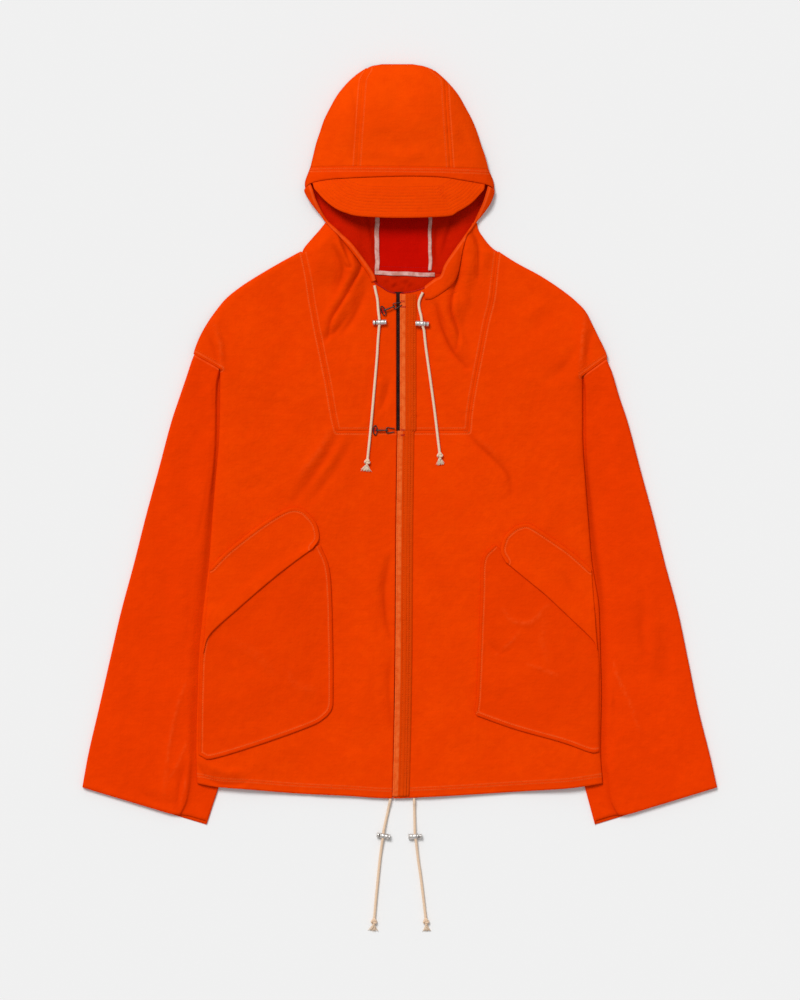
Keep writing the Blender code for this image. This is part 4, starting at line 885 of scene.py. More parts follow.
class Shell:
    """Makes closed walls of cloth from grids of points."""

    rim = 0.35
    flattest = 0.35

    @staticmethod
    def quads(valid: Array, around: bool) -> Array:
        """Lists a grid's whole cells.

        Args:
            valid: which of its points are cloth.
            around: whether its columns close into a tube.

        Returns:
            Four numbers of valid points for each cell.
        """
        index = np.full(valid.shape, -1)
        index[valid] = np.arange(int(valid.sum()))
        if around:
            index = np.concatenate([index, index[:, :1]], axis=1)
        cells = [index[:-1, :-1], index[:-1, 1:], index[1:, 1:], index[1:, :-1]]
        found = np.stack([cell.ravel() for cell in cells], 1)
        return found[(found >= 0).all(1)]

    @classmethod
    def make(
        cls, name: str, grid: Array, thickness: float = CLOTH, around: bool = False, **values: Array
    ) -> Made:
        """Builds a wall with a rounded rim.

        Args:
            name: the object's name.
            grid: the underside in mm, or a tube's outside, rows by columns by 3; NaN is no cloth.
            thickness: the wall, in mm.
            around: whether the columns close into a tube, whose wall then goes inwards.
            values: point attributes, rows by columns each.

        Returns:
            The piece, its area and its ray-cast tree.
        """
        valid = ~np.isnan(grid[..., 0])
        quads = cls.quads(valid, around)
        points = grid[valid]
        used = np.unique(quads)
        renumber = np.full(len(points), -1)
        renumber[used] = np.arange(len(used))
        points, quads = points[used], renumber[quads]
        normal = np.cross(
            points[quads[:, 2]] - points[quads[:, 0]], points[quads[:, 3]] - points[quads[:, 1]]
        )
        if around:
            highest = np.argmax(points[quads].mean(1)[:, 2])
            flip = normal[highest, 2] < 0.0
        else:
            flip = normal[:, 2].sum() < 0.0
        if flip:
            quads, normal = quads[:, ::-1], -normal
        area = float(np.linalg.norm(normal, axis=1).sum() / 2) * MM * MM
        facing = np.zeros_like(points)
        for corner in range(4):
            np.add.at(facing, quads[:, corner], normal)
        facing /= np.maximum(np.linalg.norm(facing, axis=1, keepdims=True), 1e-9)
        if around:
            outer, inner = points, points - facing * thickness
        else:
            facing[:, 2] = np.maximum(facing[:, 2], cls.flattest)
            facing /= np.linalg.norm(facing, axis=1, keepdims=True)
            outer, inner = points + facing * thickness, points
        edges = np.concatenate([quads[:, [k, (k + 1) % 4]] for k in range(4)])
        keys = np.sort(edges, axis=1)
        _, first, counts = np.unique(keys, axis=0, return_index=True, return_counts=True)
        border = edges[first[counts == 1]]
        out = np.zeros_like(points)
        sideways = np.cross(points[border[:, 1]] - points[border[:, 0]], facing[border[:, 0]])
        np.add.at(out, border[:, 0], sideways)
        np.add.at(out, border[:, 1], sideways)
        out /= np.maximum(np.linalg.norm(out, axis=1, keepdims=True), 1e-9)
        rim = np.unique(border)
        middle = (outer[rim] + inner[rim]) / 2 + out[rim] * cls.rim * thickness
        count = len(points)
        on_rim = np.full(count, -1)
        on_rim[rim] = np.arange(len(rim)) + 2 * count
        a, b = border[:, 0], border[:, 1]
        faces = np.concatenate([
            quads + count,
            quads[:, ::-1],
            np.stack([b + count, a + count, on_rim[a], on_rim[b]], 1),
            np.stack([on_rim[b], on_rim[a], a, b], 1),
        ])
        verts = np.concatenate([inner, outer, middle]) * MM
        obj = mesh_object(name, verts, faces)
        flat = {key: value[valid][used] for key, value in values.items()}
        data = {key: np.concatenate([value, value, value[rim]]) for key, value in flat.items()}
        data["beneath"] = (np.arange(len(verts)) < count) * 1.0
        for key, value in data.items():
            attribute = obj.data.attributes.new(key, "FLOAT", "POINT")
            attribute.data.foreach_set("value", value.astype(np.float32))
        tree = BVHTree.FromPolygons([Vector(v) for v in verts], faces.tolist())
        LOG.info("%s: %d faces, %.4f m2", name, len(faces), area)
        return Made(obj, area, tree)


def mesh_object(name: str, verts: Array, faces: Sequence, smooth: bool = True) -> Object:
    """An object of points in metres and faces, in the scene at the origin.

    Args:
        name: its name.
        verts: points in metres.
        faces: corners of each face.
        smooth: whether it is shaded smooth.

    Returns:
        The object.
    """
    mesh = bpy.data.meshes.new(name)
    mesh.from_pydata(
        np.asarray(verts, float).tolist(), [], [list(map(int, face)) for face in faces]
    )
    mesh.update()
    if smooth:
        mesh.shade_smooth()
    obj = bpy.data.objects.new(name, mesh)
    bpy.context.scene.collection.objects.link(obj)
    return obj


def sweep(
    name: str, paths: Sequence[Array], radius: Callable[[Array, Array], Array], sides: int,
    closed: bool = False
) -> Object:
    """Makes round tubes along paths.

    Args:
        name: the object's name.
        paths: one tube each, points by 3, in mm.
        radius: gives the radius for turns (0 to 1) and mm along.
        sides: points around.
        closed: whether each path's end meets its start.

    Returns:
        The object, with a UV map of turns and mm along.
    """
    verts, faces, around, along_uv = [], [], [], []
    for path in paths:
        path = np.asarray(path, float)
        if closed:
            tangent = np.roll(path, -1, 0) - np.roll(path, 1, 0)
        else:
            tangent = np.gradient(path, axis=0)
        tangent /= np.linalg.norm(tangent, axis=1, keepdims=True)
        side = np.cross(tangent[0], [0.0, 0.0, 1.0])
        if np.linalg.norm(side) < 0.2:
            side = np.cross(tangent[0], [0.0, 1.0, 0.0])
        sideways = []
        for direction in tangent:
            if closed:
                side = np.cross(direction, [0.0, 0.0, 1.0])
            side = side - direction * (side @ direction)
            side = side / np.linalg.norm(side)
            sideways.append(side)
        sideways = np.array(sideways)
        up = np.cross(sideways, tangent)
        gone = np.concatenate([[0.0], np.cumsum(np.linalg.norm(np.diff(path, axis=0), axis=1))])
        turn = np.arange(sides) / sides
        reach = radius(turn[None], gone[:, None]) * np.ones((len(path), sides))
        spin = turn[None, :, None] * math.tau
        outwards = sideways[:, None] * np.cos(spin) + up[:, None] * np.sin(spin)
        ring = path[:, None] + outwards * reach[..., None]
        base = sum(len(v) for v in verts)
        rows = len(path) + (1 if closed else 0)
        for i in range(rows - 1):
            k = (i + 1) % len(path)
            for j in range(sides):
                m = (j + 1) % sides
                here, there = base + i * sides, base + k * sides
                faces.append((here + j, here + m, there + m, there + j))
                far = gone[k] if k else gone[-1] + 1.0
                around += [turn[j], turn[j] + 1 / sides, turn[j] + 1 / sides, turn[j]]
                along_uv += [gone[i], gone[i], far, far]
        if not closed:
            start, end = base, base + (len(path) - 1) * sides
            faces.append(tuple(range(start + sides - 1, start - 1, -1)))
            faces.append(tuple(range(end, end + sides)))
            around += [0.0] * (2 * sides)
            along_uv += [gone[0]] * sides + [gone[-1]] * sides
        verts.append(ring.reshape(-1, 3))
    obj = mesh_object(name, np.concatenate(verts) * MM, faces)
    layer = obj.data.uv_layers.new(name="UVMap")
    layer.data.foreach_set("uv", np.stack([around, along_uv], 1).astype(np.float32).ravel())
    face_outwards(obj)
    return obj


def lathe(
    name: str, profile: Sequence[tuple[float, float]], place: Array, towards: Array, steps: int
) -> Object:
    """Turns a profile of (radius, height), from axis to axis, about a line.

    Args:
        name: the object's name.
        profile: radii and heights, in mm, along the outside from the top to the bottom.
        place: the axis's zero height, in mm.
        towards: the axis's direction.
        steps: points around.

    Returns:
        The closed object.
    """
    axis = Vector(towards).normalized()
    turn = axis.to_track_quat("Z", "Y").to_matrix()
    angles = np.arange(steps) * math.tau / steps
    verts, rings = [], []
    for radius, height in profile:
        if radius < 1e-6:
            rings.append([len(verts)])
            verts.append((0.0, 0.0, height))
            continue
        rings.append(list(range(len(verts), len(verts) + steps)))
        verts += [(radius * math.cos(a), radius * math.sin(a), height) for a in angles]
    faces = []
    for upper, lower in zip(rings, rings[1:]):
        for i in range(steps):
            j = (i + 1) % steps
            corners = [upper[i % len(upper)], upper[j % len(upper)]]
            corners += [lower[j % len(lower)], lower[i % len(lower)]]
            faces.append(tuple(dict.fromkeys(corners)))
    points = [(turn @ Vector(v) + Vector(place)) * MM for v in verts]
    obj = mesh_object(name, points, faces)
    face_outwards(obj)
    return obj


def face_outwards(obj: Object) -> None:
    """Turns every face of a closed mesh outwards.

    Args:
        obj: the closed mesh.
    """
    shape = bmesh.new()
    shape.from_mesh(obj.data)
    bmesh.ops.recalc_face_normals(shape, faces=shape.faces[:])
    shape.to_mesh(obj.data)
    shape.free()


class Graph:
    """A short way to write a material's nodes."""

    def __init__(self, name: str) -> None:
        """Starts an empty material.

        Args:
            name: the material's name.
        """
        self.material = bpy.data.materials.new(name)
        self.material.use_nodes = True
        self.tree = self.material.node_tree
        self.shader = self.tree.nodes["Principled BSDF"]
        self.place = self.add("ShaderNodeTexCoord").outputs["Object"]

    def add(self, kind: str, **settings: object) -> bpy.types.Node:
        """A node with its settings.

        Args:
            kind: the node's type.
            settings: its properties.

        Returns:
            The node.
        """
        node = self.tree.nodes.new(kind)
        for key, value in settings.items():
            setattr(node, key, value)
        return node

    def put(self, socket: Socket, value: object) -> None:
        """Links a socket to another, or sets its value."""
        if isinstance(value, Socket):
            self.tree.links.new(value, socket)
        else:
            socket.default_value = value

    def math(self, operation: str, a: object, b: object = 0.0, clamp: bool = False) -> Socket:
        """A Math node's result.

        Args:
            operation: the node's operation.
            a: its first value.
            b: its second value.
            clamp: whether it is kept from 0 to 1.

        Returns:
            Its output.
        """
        node = self.add("ShaderNodeMath", operation=operation, use_clamp=clamp)
        self.put(node.inputs[0], a)
        self.put(node.inputs[1], b)
        return node.outputs[0]

    def times(self, a: object, b: object, clamp: bool = False) -> Socket:
        """The product of two values."""
        return self.math("MULTIPLY", a, b, clamp)

    def plus(self, a: object, b: object) -> Socket:
        """The sum of two values."""
        return self.math("ADD", a, b)

    def noise(self, size_mm: float, detail: float = 2.0, rough: float = 0.5) -> Socket:
        """Noise with features of about that size, from 0 to 1.

        Args:
            size_mm: the features' size.
            detail: its octaves.
            rough: the share of each finer octave.

        Returns:
            Its output.
        """
        node = self.add("ShaderNodeTexNoise")
        self.put(node.inputs["Vector"], self.place)
        node.inputs["Scale"].default_value = 1000.0 / size_mm
        node.inputs["Detail"].default_value = detail
        node.inputs["Roughness"].default_value = rough
        return node.outputs["Fac"]

    def wave(self, size_mm: float, axis: str) -> Socket:
        """A sine wave of that period along an axis.

        Args:
            size_mm: the period.
            axis: the axis that it runs along.

        Returns:
            Its output.
        """
        node = self.add("ShaderNodeTexWave", bands_direction=axis)
        self.put(node.inputs["Vector"], self.place)
        node.inputs["Scale"].default_value = 1000.0 / size_mm / math.pi * 0.5
        node.inputs["Distortion"].default_value = 0.6
        node.inputs["Detail"].default_value = 1.0
        node.inputs["Detail Scale"].default_value = 1.5
        return node.outputs["Fac"]

    def attribute(self, name: str) -> Socket:
        """A float attribute of the mesh."""
        return self.add("ShaderNodeAttribute", attribute_name=name).outputs["Fac"]

    def level(
        self, value: object, low: float, high: float, to: tuple[float, float] = (0.0, 1.0)
    ) -> Socket:
        """A soft step of a value between two levels.

        Args:
            value: the value.
            low: where the step begins.
            high: where it ends.
            to: what it goes from and to.

        Returns:
            Its output.
        """
        node = self.add("ShaderNodeMapRange", interpolation_type="SMOOTHSTEP")
        self.put(node.inputs["Value"], value)
        node.inputs["From Min"].default_value = low
        node.inputs["From Max"].default_value = high
        node.inputs["To Min"].default_value, node.inputs["To Max"].default_value = to
        return node.outputs["Result"]

    def line(self, distance: object, at: float, width: float) -> Socket:
        """1 on a line at that distance, falling to 0 within the width."""
        gap = self.math("ABSOLUTE", self.math("SUBTRACT", distance, at))
        return self.level(gap, 0.0, width, (1.0, 0.0))

    def mix(self, share: object, a: object, b: object) -> Socket:
        """A mix of two colours.

        Args:
            share: how much of the second colour.
            a: the first colour.
            b: the second colour.

        Returns:
            Its output.
        """
        node = self.add("ShaderNodeMix", data_type="RGBA")
        for name, value in (("Factor_Float", share), ("A_Color", a), ("B_Color", b)):
            socket = next(s for s in node.inputs if s.identifier == name)
            self.put(
                socket, (*value, 1.0) if isinstance(value, tuple) and len(value) == 3 else value
            )
        return next(s for s in node.outputs if s.identifier == "Result_Color")

    def bump(self, height: object, distance_mm: float, normal: object = None) -> Socket:
        """A bumped normal for a height from 0 to 1.

        Args:
            height: the height.
            distance_mm: what a height of 1 stands for.
            normal: an earlier bump's output.

        Returns:
            The bumped normal.
        """
        node = self.add("ShaderNodeBump")
        self.put(node.inputs["Height"], height)
        node.inputs["Distance"].default_value = distance_mm * MM
        if normal is not None:
            self.put(node.inputs["Normal"], normal)
        return node.outputs["Normal"]

    def finish(
        self, colour: object, roughness: object, normal: object = None, **fixed: float
    ) -> Material:
        """Sets the shader's inputs and gives the material back.

        Args:
            colour: the base colour.
            roughness: the roughness.
            normal: the bumped normal.
            fixed: other inputs by name.

        Returns:
            The material.
        """
        if isinstance(colour, tuple):
            colour = (*colour, 1.0)
        self.put(self.shader.inputs["Base Color"], colour)
        self.put(self.shader.inputs["Roughness"], roughness)
        if normal is not None:
            self.put(self.shader.inputs["Normal"], normal)
        for name, value in fixed.items():
            self.shader.inputs[name.replace("_", " ")].default_value = value
        return self.material


@dataclass(frozen=True)
class WaxedCloth:
    """Dense waxed cotton: a fine weave, mottled wax, light wear on crests, painted shade in
    troughs, and sewn rows with a painted shade line beside each.
    """

    name: str
    slot: str = "orange_cloth"
    colour: Colour = (0.845, 0.054, 0.0004)
    deep: Colour = (0.66, 0.028, 0.0002)
    # The light colour of wear; painted shade mixes towards deep instead.
    worn: Colour = (0.90, 0.12, 0.022)
    beneath: Colour = (0.82, 0.05, 0.0005)
    row_light: float = 0.5
    rows: tuple[float, ...] = ()
    hem_rows: tuple[float, ...] = ()
    groove: float = 0.32
    weave: float = 0.05
    roughness: float = 0.78

    def material(self) -> Material:
        """Builds the material's nodes.

        Returns:
            The material.
        """
        g = Graph(self.name)
        broad, fine = g.noise(46, 3), g.noise(9, 3)
        grain = g.noise(1.6, 2)
        cloud = g.plus(g.times(broad, 0.55), g.times(fine, 0.45))
        colour = g.mix(g.level(cloud, 0.40, 0.66, (0.26, 0.0)), self.colour, self.deep)
        colour = g.mix(g.times(grain, 0.24), colour, self.deep)
        worn = g.attribute("worn")
        scuff = g.times(worn, g.level(g.noise(5, 3), 0.3, 0.62), clamp=True)
        colour = g.mix(scuff, colour, self.worn)
        # Below 0 the attribute is painted shade: the colour goes towards a darker deep, in crease
        # troughs and on the sleeves beside the body.
        shaded = g.times(worn, -1.0, clamp=True)
        colour = g.mix(shaded, colour, tuple(0.62 * channel for channel in self.deep))
        pucker = g.noise(5.5, 1)
        light = g.level(pucker, 0.3, 0.7, (0.55 * self.row_light, self.row_light))
        height = None
        sewn = [("inset", row) for row in self.rows] + [("hem", row) for row in self.hem_rows]
        for name, row in sewn:
            distance = g.attribute(name)
            ridge = g.times(g.line(distance, row, 5.0), g.times(pucker, 0.9))
            shape = g.math("SUBTRACT", ridge, g.line(distance, row, 1.5))
            height = shape if height is None else g.plus(height, shape)
            colour = g.mix(g.times(g.line(distance, row + 0.5, 1.7), light), colour, self.worn)
            # A faint dark line 1.8 mm from each row, towards the seam: painted shade between the
            # row and the seam.
            colour = g.mix(g.times(g.line(distance, row - 1.8, 1.6), 0.14), colour, self.deep)
        lower = g.mix(g.times(cloud, 0.6), self.beneath, self.deep)
        colour = g.mix(g.attribute("beneath"), colour, lower)
        threads = g.plus(g.wave(0.9, "X"), g.wave(0.9, "Y"))
        normal = g.bump(threads, self.weave)
        normal = g.bump(g.noise(3.2, 3, rough=0.6), 0.30, normal)
        normal = g.bump(g.noise(17, 3, rough=0.55), 1.5, normal)
        if height is not None:
            normal = g.bump(height, self.groove, normal)
        shine = g.level(fine, 0.3, 0.7, (self.roughness - 0.08, self.roughness + 0.08))
        return g.finish(colour, shine, normal, Specular_IOR_Level=0.0)


@dataclass(frozen=True)
class Woven:
    """Plain woven tape or facing."""

    name: str
    slot: str
    colour: Colour
    deep: Colour
    roughness: float = 0.8
    pitch: float = 0.8
    rows: tuple[float, ...] = ()

    def material(self) -> Material:
        """Builds the material's nodes.

        Returns:
            The material.
        """
        g = Graph(self.name)
        colour = g.mix(g.level(g.noise(7, 3), 0.35, 0.7), self.colour, self.deep)
        distance = g.attribute("inset")
        for row in self.rows:
            colour = g.mix(g.times(g.line(distance, row, 1.0), 0.5), colour, self.deep)
        threads = g.plus(g.wave(self.pitch, "X"), g.wave(self.pitch, "Y"))
        normal = g.bump(g.noise(4, 2), 0.35, g.bump(threads, 0.1))
        return g.finish(colour, self.roughness, normal, Specular_IOR_Level=0.06)


@dataclass(frozen=True)
class Braid:
    """Round braided cord, from the tube's UV map of turns and millimetres."""

    name: str = "cord_braid"
    slot: str = "cord"
    colour: Colour = (0.90, 0.68, 0.49)
    deep: Colour = (0.60, 0.36, 0.22)
    strands: int = 4
    pitch: float = 7.0

    def material(self) -> Material:
        """Builds the material's nodes.

        Returns:
            The material.
        """
        g = Graph(self.name)
        uv = g.add("ShaderNodeUVMap", uv_map="UVMap").outputs["UV"]
        split = g.add("ShaderNodeSeparateXYZ")
        g.put(split.inputs[0], uv)
        turn = g.times(split.outputs[0], math.tau * self.strands)
        run = g.times(split.outputs[1], math.tau * self.strands / self.pitch / 2)
        one = g.math("SINE", g.plus(turn, run))
        two = g.math("SINE", g.math("SUBTRACT", turn, run))
        height = g.plus(g.times(g.times(one, two), 0.5), 0.5)
        hairs = g.noise(0.7, 2)
        # Darker where the strands dip between one another: painted shade in the braid's hollows.
        colour = g.mix(g.level(height, 0.15, 0.6, (0.7, 0.0)), self.colour, self.deep)
        colour = g.mix(g.times(hairs, 0.18), colour, self.deep)
        normal = g.bump(height, 0.35, g.bump(hairs, 0.12))
        return g.finish(colour, 0.88, normal, Specular_IOR_Level=0.15, Sheen_Weight=0.15)


@dataclass(frozen=True)
class Yarn:
    """Thread or loose fibre."""

    name: str
    slot: str
    colour: Colour
    roughness: float = 0.7

    def material(self) -> Material:
        """Builds the material's nodes.

        Returns:
            The material.
        """
        g = Graph(self.name)
        fibre = g.noise(0.6, 2)
        deep = tuple(0.6 * channel for channel in self.colour)
        colour = g.mix(g.times(fibre, 0.5), self.colour, deep)
        return g.finish(colour, self.roughness, g.bump(fibre, 0.1), Specular_IOR_Level=0.02)


@dataclass(frozen=True)
class Metal:
    """Turned or drawn metal with fine scratches and tarnish."""

    name: str
    slot: str
    colour: Colour
    tarnish: Colour
    roughness: float

    def material(self) -> Material:
        """Builds the material's nodes.

        Returns:
            The material.
        """
        g = Graph(self.name)
        patches = g.level(g.noise(2.4, 3), 0.45, 0.7)
        colour = g.mix(patches, self.colour, self.tarnish)
        scratches = g.noise(0.35, 3, rough=0.7)
        shine = g.level(scratches, 0.3, 0.7, (self.roughness - 0.07, self.roughness + 0.1))
        return g.finish(colour, shine, g.bump(scratches, 0.03), Metallic=0.9)


@dataclass(frozen=True)
class Paper:
    """The pale floor, with a faint tooth."""

    name: str = "floor_paper"
    colour: Colour = (0.86, 0.86, 0.86)

    def material(self) -> Material:
        """Builds the material's nodes.

        Returns:
            The material.
        """
        g = Graph(self.name)
        colour = g.mix(g.times(g.noise(60, 2), 0.02), self.colour, (0.82, 0.82, 0.82))
        return g.finish(colour, 0.95, g.bump(g.noise(1.5, 2), 0.01), Specular_IOR_Level=0.05)


class Wardrobe:
    """Holds each finish's material once, and dresses pieces."""

    def __init__(self) -> None:
        """Starts with no material."""
        self.materials: dict[str, Material] = {}

    def of(self, finish: object) -> Material:
        """The finish's material, built the first time."""
        if finish.name not in self.materials:
            self.materials[finish.name] = finish.material()
        return self.materials[finish.name]

    def dress(self, obj: Object, finish: object, *nodes: str, body: str = BODY) -> Object:
        """Gives a piece its finish's material and its body, and hides the solids that it stands
        for.

        Args:
            obj: the piece.
            finish: its finish.
            body: the body that it rides on.
            nodes: the solids that it stands for.

        Returns:
            The same piece.
        """
        obj.data.materials.clear()
        obj.data.materials.append(self.of(finish))
        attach(obj, body)
        if nodes:
            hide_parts(*nodes)
        return obj

    def lay(
        self, node: str, name: str, plan: tuple[Array, Array], z: Array, finish: object,
        thickness: float = CLOTH, **values: Array,
    ) -> Made:
        """Builds a wall of cloth over a plan and dresses it.

        Args:
            node: the solid that it stands for.
            name: the object's name.
            plan: x and y of its points; NaN is no cloth.
            z: the heights of its underside.
            finish: its finish.
            thickness: the wall, in mm.
            values: point attributes; inset and hem are FAR, and the wear and painted shade is 0,
                where not given.

        Returns:
            The piece.
        """
        points = np.stack([*plan, z], -1)
        points[np.isnan(plan[0])] = np.nan
        values = {"inset": z * 0 + FAR, "hem": z * 0 + FAR, "worn": z * 0, **values}
        made = Shell.make(name, points, thickness, **values)
        self.dress(made.obj, finish, node)
        return made


@dataclass
class Body:
    """The back and the two fronts."""

    wardrobe: Wardrobe
    step: float = 2.4
    back_step: float = 5.0
    middle_clear: float = 1.2
    cloth: WaxedCloth = WaxedCloth("front_cloth", rows=(3.6,), hem_rows=HEM_ROWS)
    # The back's upper face is its inside, a darker red: partly the inner face's own colour, partly
    # painted shade of the hood over the neck.
    back_cloth: WaxedCloth = WaxedCloth(
        "back_cloth", colour=(0.62, 0.018, 0.0004), deep=(0.42, 0.006, 0.0002), hem_rows=HEM_ROWS
    )
    made: dict[str, Made] = field(default_factory=dict)

    def hem_y(self, x: Array, y: Array, start: float, reach: float) -> Array:
        """Heights stretched down to the hem's line near it."""
        return y + ramp((start - y) / reach) * (along_places(HEM, x) - BODY_END)

    def make_back(self) -> None:
        """The back panel, flat between the sleeves, with its two shoulder corners."""
        seams = [place.y for pair in zip(*SLEEVE_SEAM.values()) for place in pair]
        y = stops(
            [249.5, NECK_SEAM, *sorted(seams, reverse=True), BODY_END + 2.0], self.back_step
        )[:, None]
        inner = np.minimum(
            NECK_HALF + 0.3, np.minimum(body_half(Side.RIGHT, y), body_half(Side.LEFT, y)) - 1.0
        )
        t = np.linspace(0, 1, 34)[None]
        right = -(body_half(Side.RIGHT, y) * (1 - t) + inner * t)
        left = body_half(Side.LEFT, y) * t + inner * (1 - t)
        middle = inner * (2 * np.linspace(0, 1, 50)[None, 1:-1] - 1)
        middle = np.where(y > NECK_SEAM + 0.01, np.nan, middle)
        x = np.concatenate([right, middle, left], 1)
        y = np.broadcast_to(y, x.shape)
        known = np.nan_to_num(x)
        low = self.hem_y(known, y, HEM_EASE, 98.0)
        # Where the back shows at the neck, its inside creases lift it and their troughs paint
        # shade.
        lift, worn = INSIDE_RELIEF.at(known, y)
        shown = ramp((half_at(OPENING, known, y) - 3.0 - np.abs(known)) / 6.0)
        shown = shown * ramp((y - 197.0) / 8.0)
        z = underside(known, y) + np.clip(lift, 0.0, 2.0) * shown
        hem = low - along_places(HEM, known)
        made = self.wardrobe.lay(
            "back_panel", "back_cloth_piece", (x, low), z, self.back_cloth, hem=hem,
            worn=worn * shown
        )
        self.made["back_panel"] = made

    def make_front(self, side: Side) -> None:
        """One front: shoulder, chest seam, middle edge, hem and side.

        Args:
            side: which side it is on.
        """
        sign = side.sign
        top, bottom = SLEEVE_SEAM[side]
        y = stops([HOOD_EDGE - 0.2, 128, top.y, bottom.y, CHEST_SEAM, BODY_END], self.step)[:, None]
        edge = body_half(side, y)
        turn = half_width(CHEST_SIDE, side, np.maximum(y, CHEST_SEAM))
        width = edge - turn
        scaled = np.array(ROLL_STEPS)[None] * np.minimum(1.0, width / ROLL_ROOM)
        rest = np.linspace(0, 1, 64)[None, 1:]
        across = np.concatenate([scaled, scaled[:, -1:] + (width - scaled[:, -1:]) * rest], 1)
        outer = sign * (edge - across)
        middle = binding_edge(y) + (0.1 if side is Side.LEFT else -self.middle_clear)
        inner = sign * turn + (middle - sign * turn) * np.linspace(0, 1, 40)[None, 1:]
        inner = np.where(y > CHEST_SEAM + 0.01, np.nan, inner)
        x = np.concatenate([outer, inner], 1)
        known = np.nan_to_num(x)
        y = np.broadcast_to(y, x.shape)
        low = self.hem_y(known, y, HEM_EASE, 100.0)
        z, worn = front_under(known, y)
        inset = to_line(known, low, self.chest_line(side))[0]
        inset = np.minimum(inset, to_line(known, low, armhole(side))[0] + 0.4)
        hem = low - along_places(HEM, known)
        made = self.wardrobe.lay(
            f"front_{side.value}", f"front_cloth_{side.value}", (x, low), z, self.cloth,
            inset=inset, hem=hem, worn=worn,
        )
        self.made[f"front_{side.value}"] = made

    @staticmethod
    def chest_line(side: Side) -> Array:
        """The seam round the chest piece: down its side and in to the middle.

        Args:
            side: which side it is on.

        Returns:
            The seam's points in plan.
        """
        y = np.linspace(HOOD_EDGE, CHEST_SEAM, 24)
        line = np.stack([side.sign * half_width(CHEST_SIDE, side, y), y], 1)
        return np.concatenate([line, [[side.sign * 3.0, CHEST_SEAM]]])

    def make(self) -> dict[str, Made]:
        """Builds all three.

        Returns:
            The pieces by their solids' names.
        """
        self.make_back()
        for side in Side:
            self.make_front(side)
        return self.made


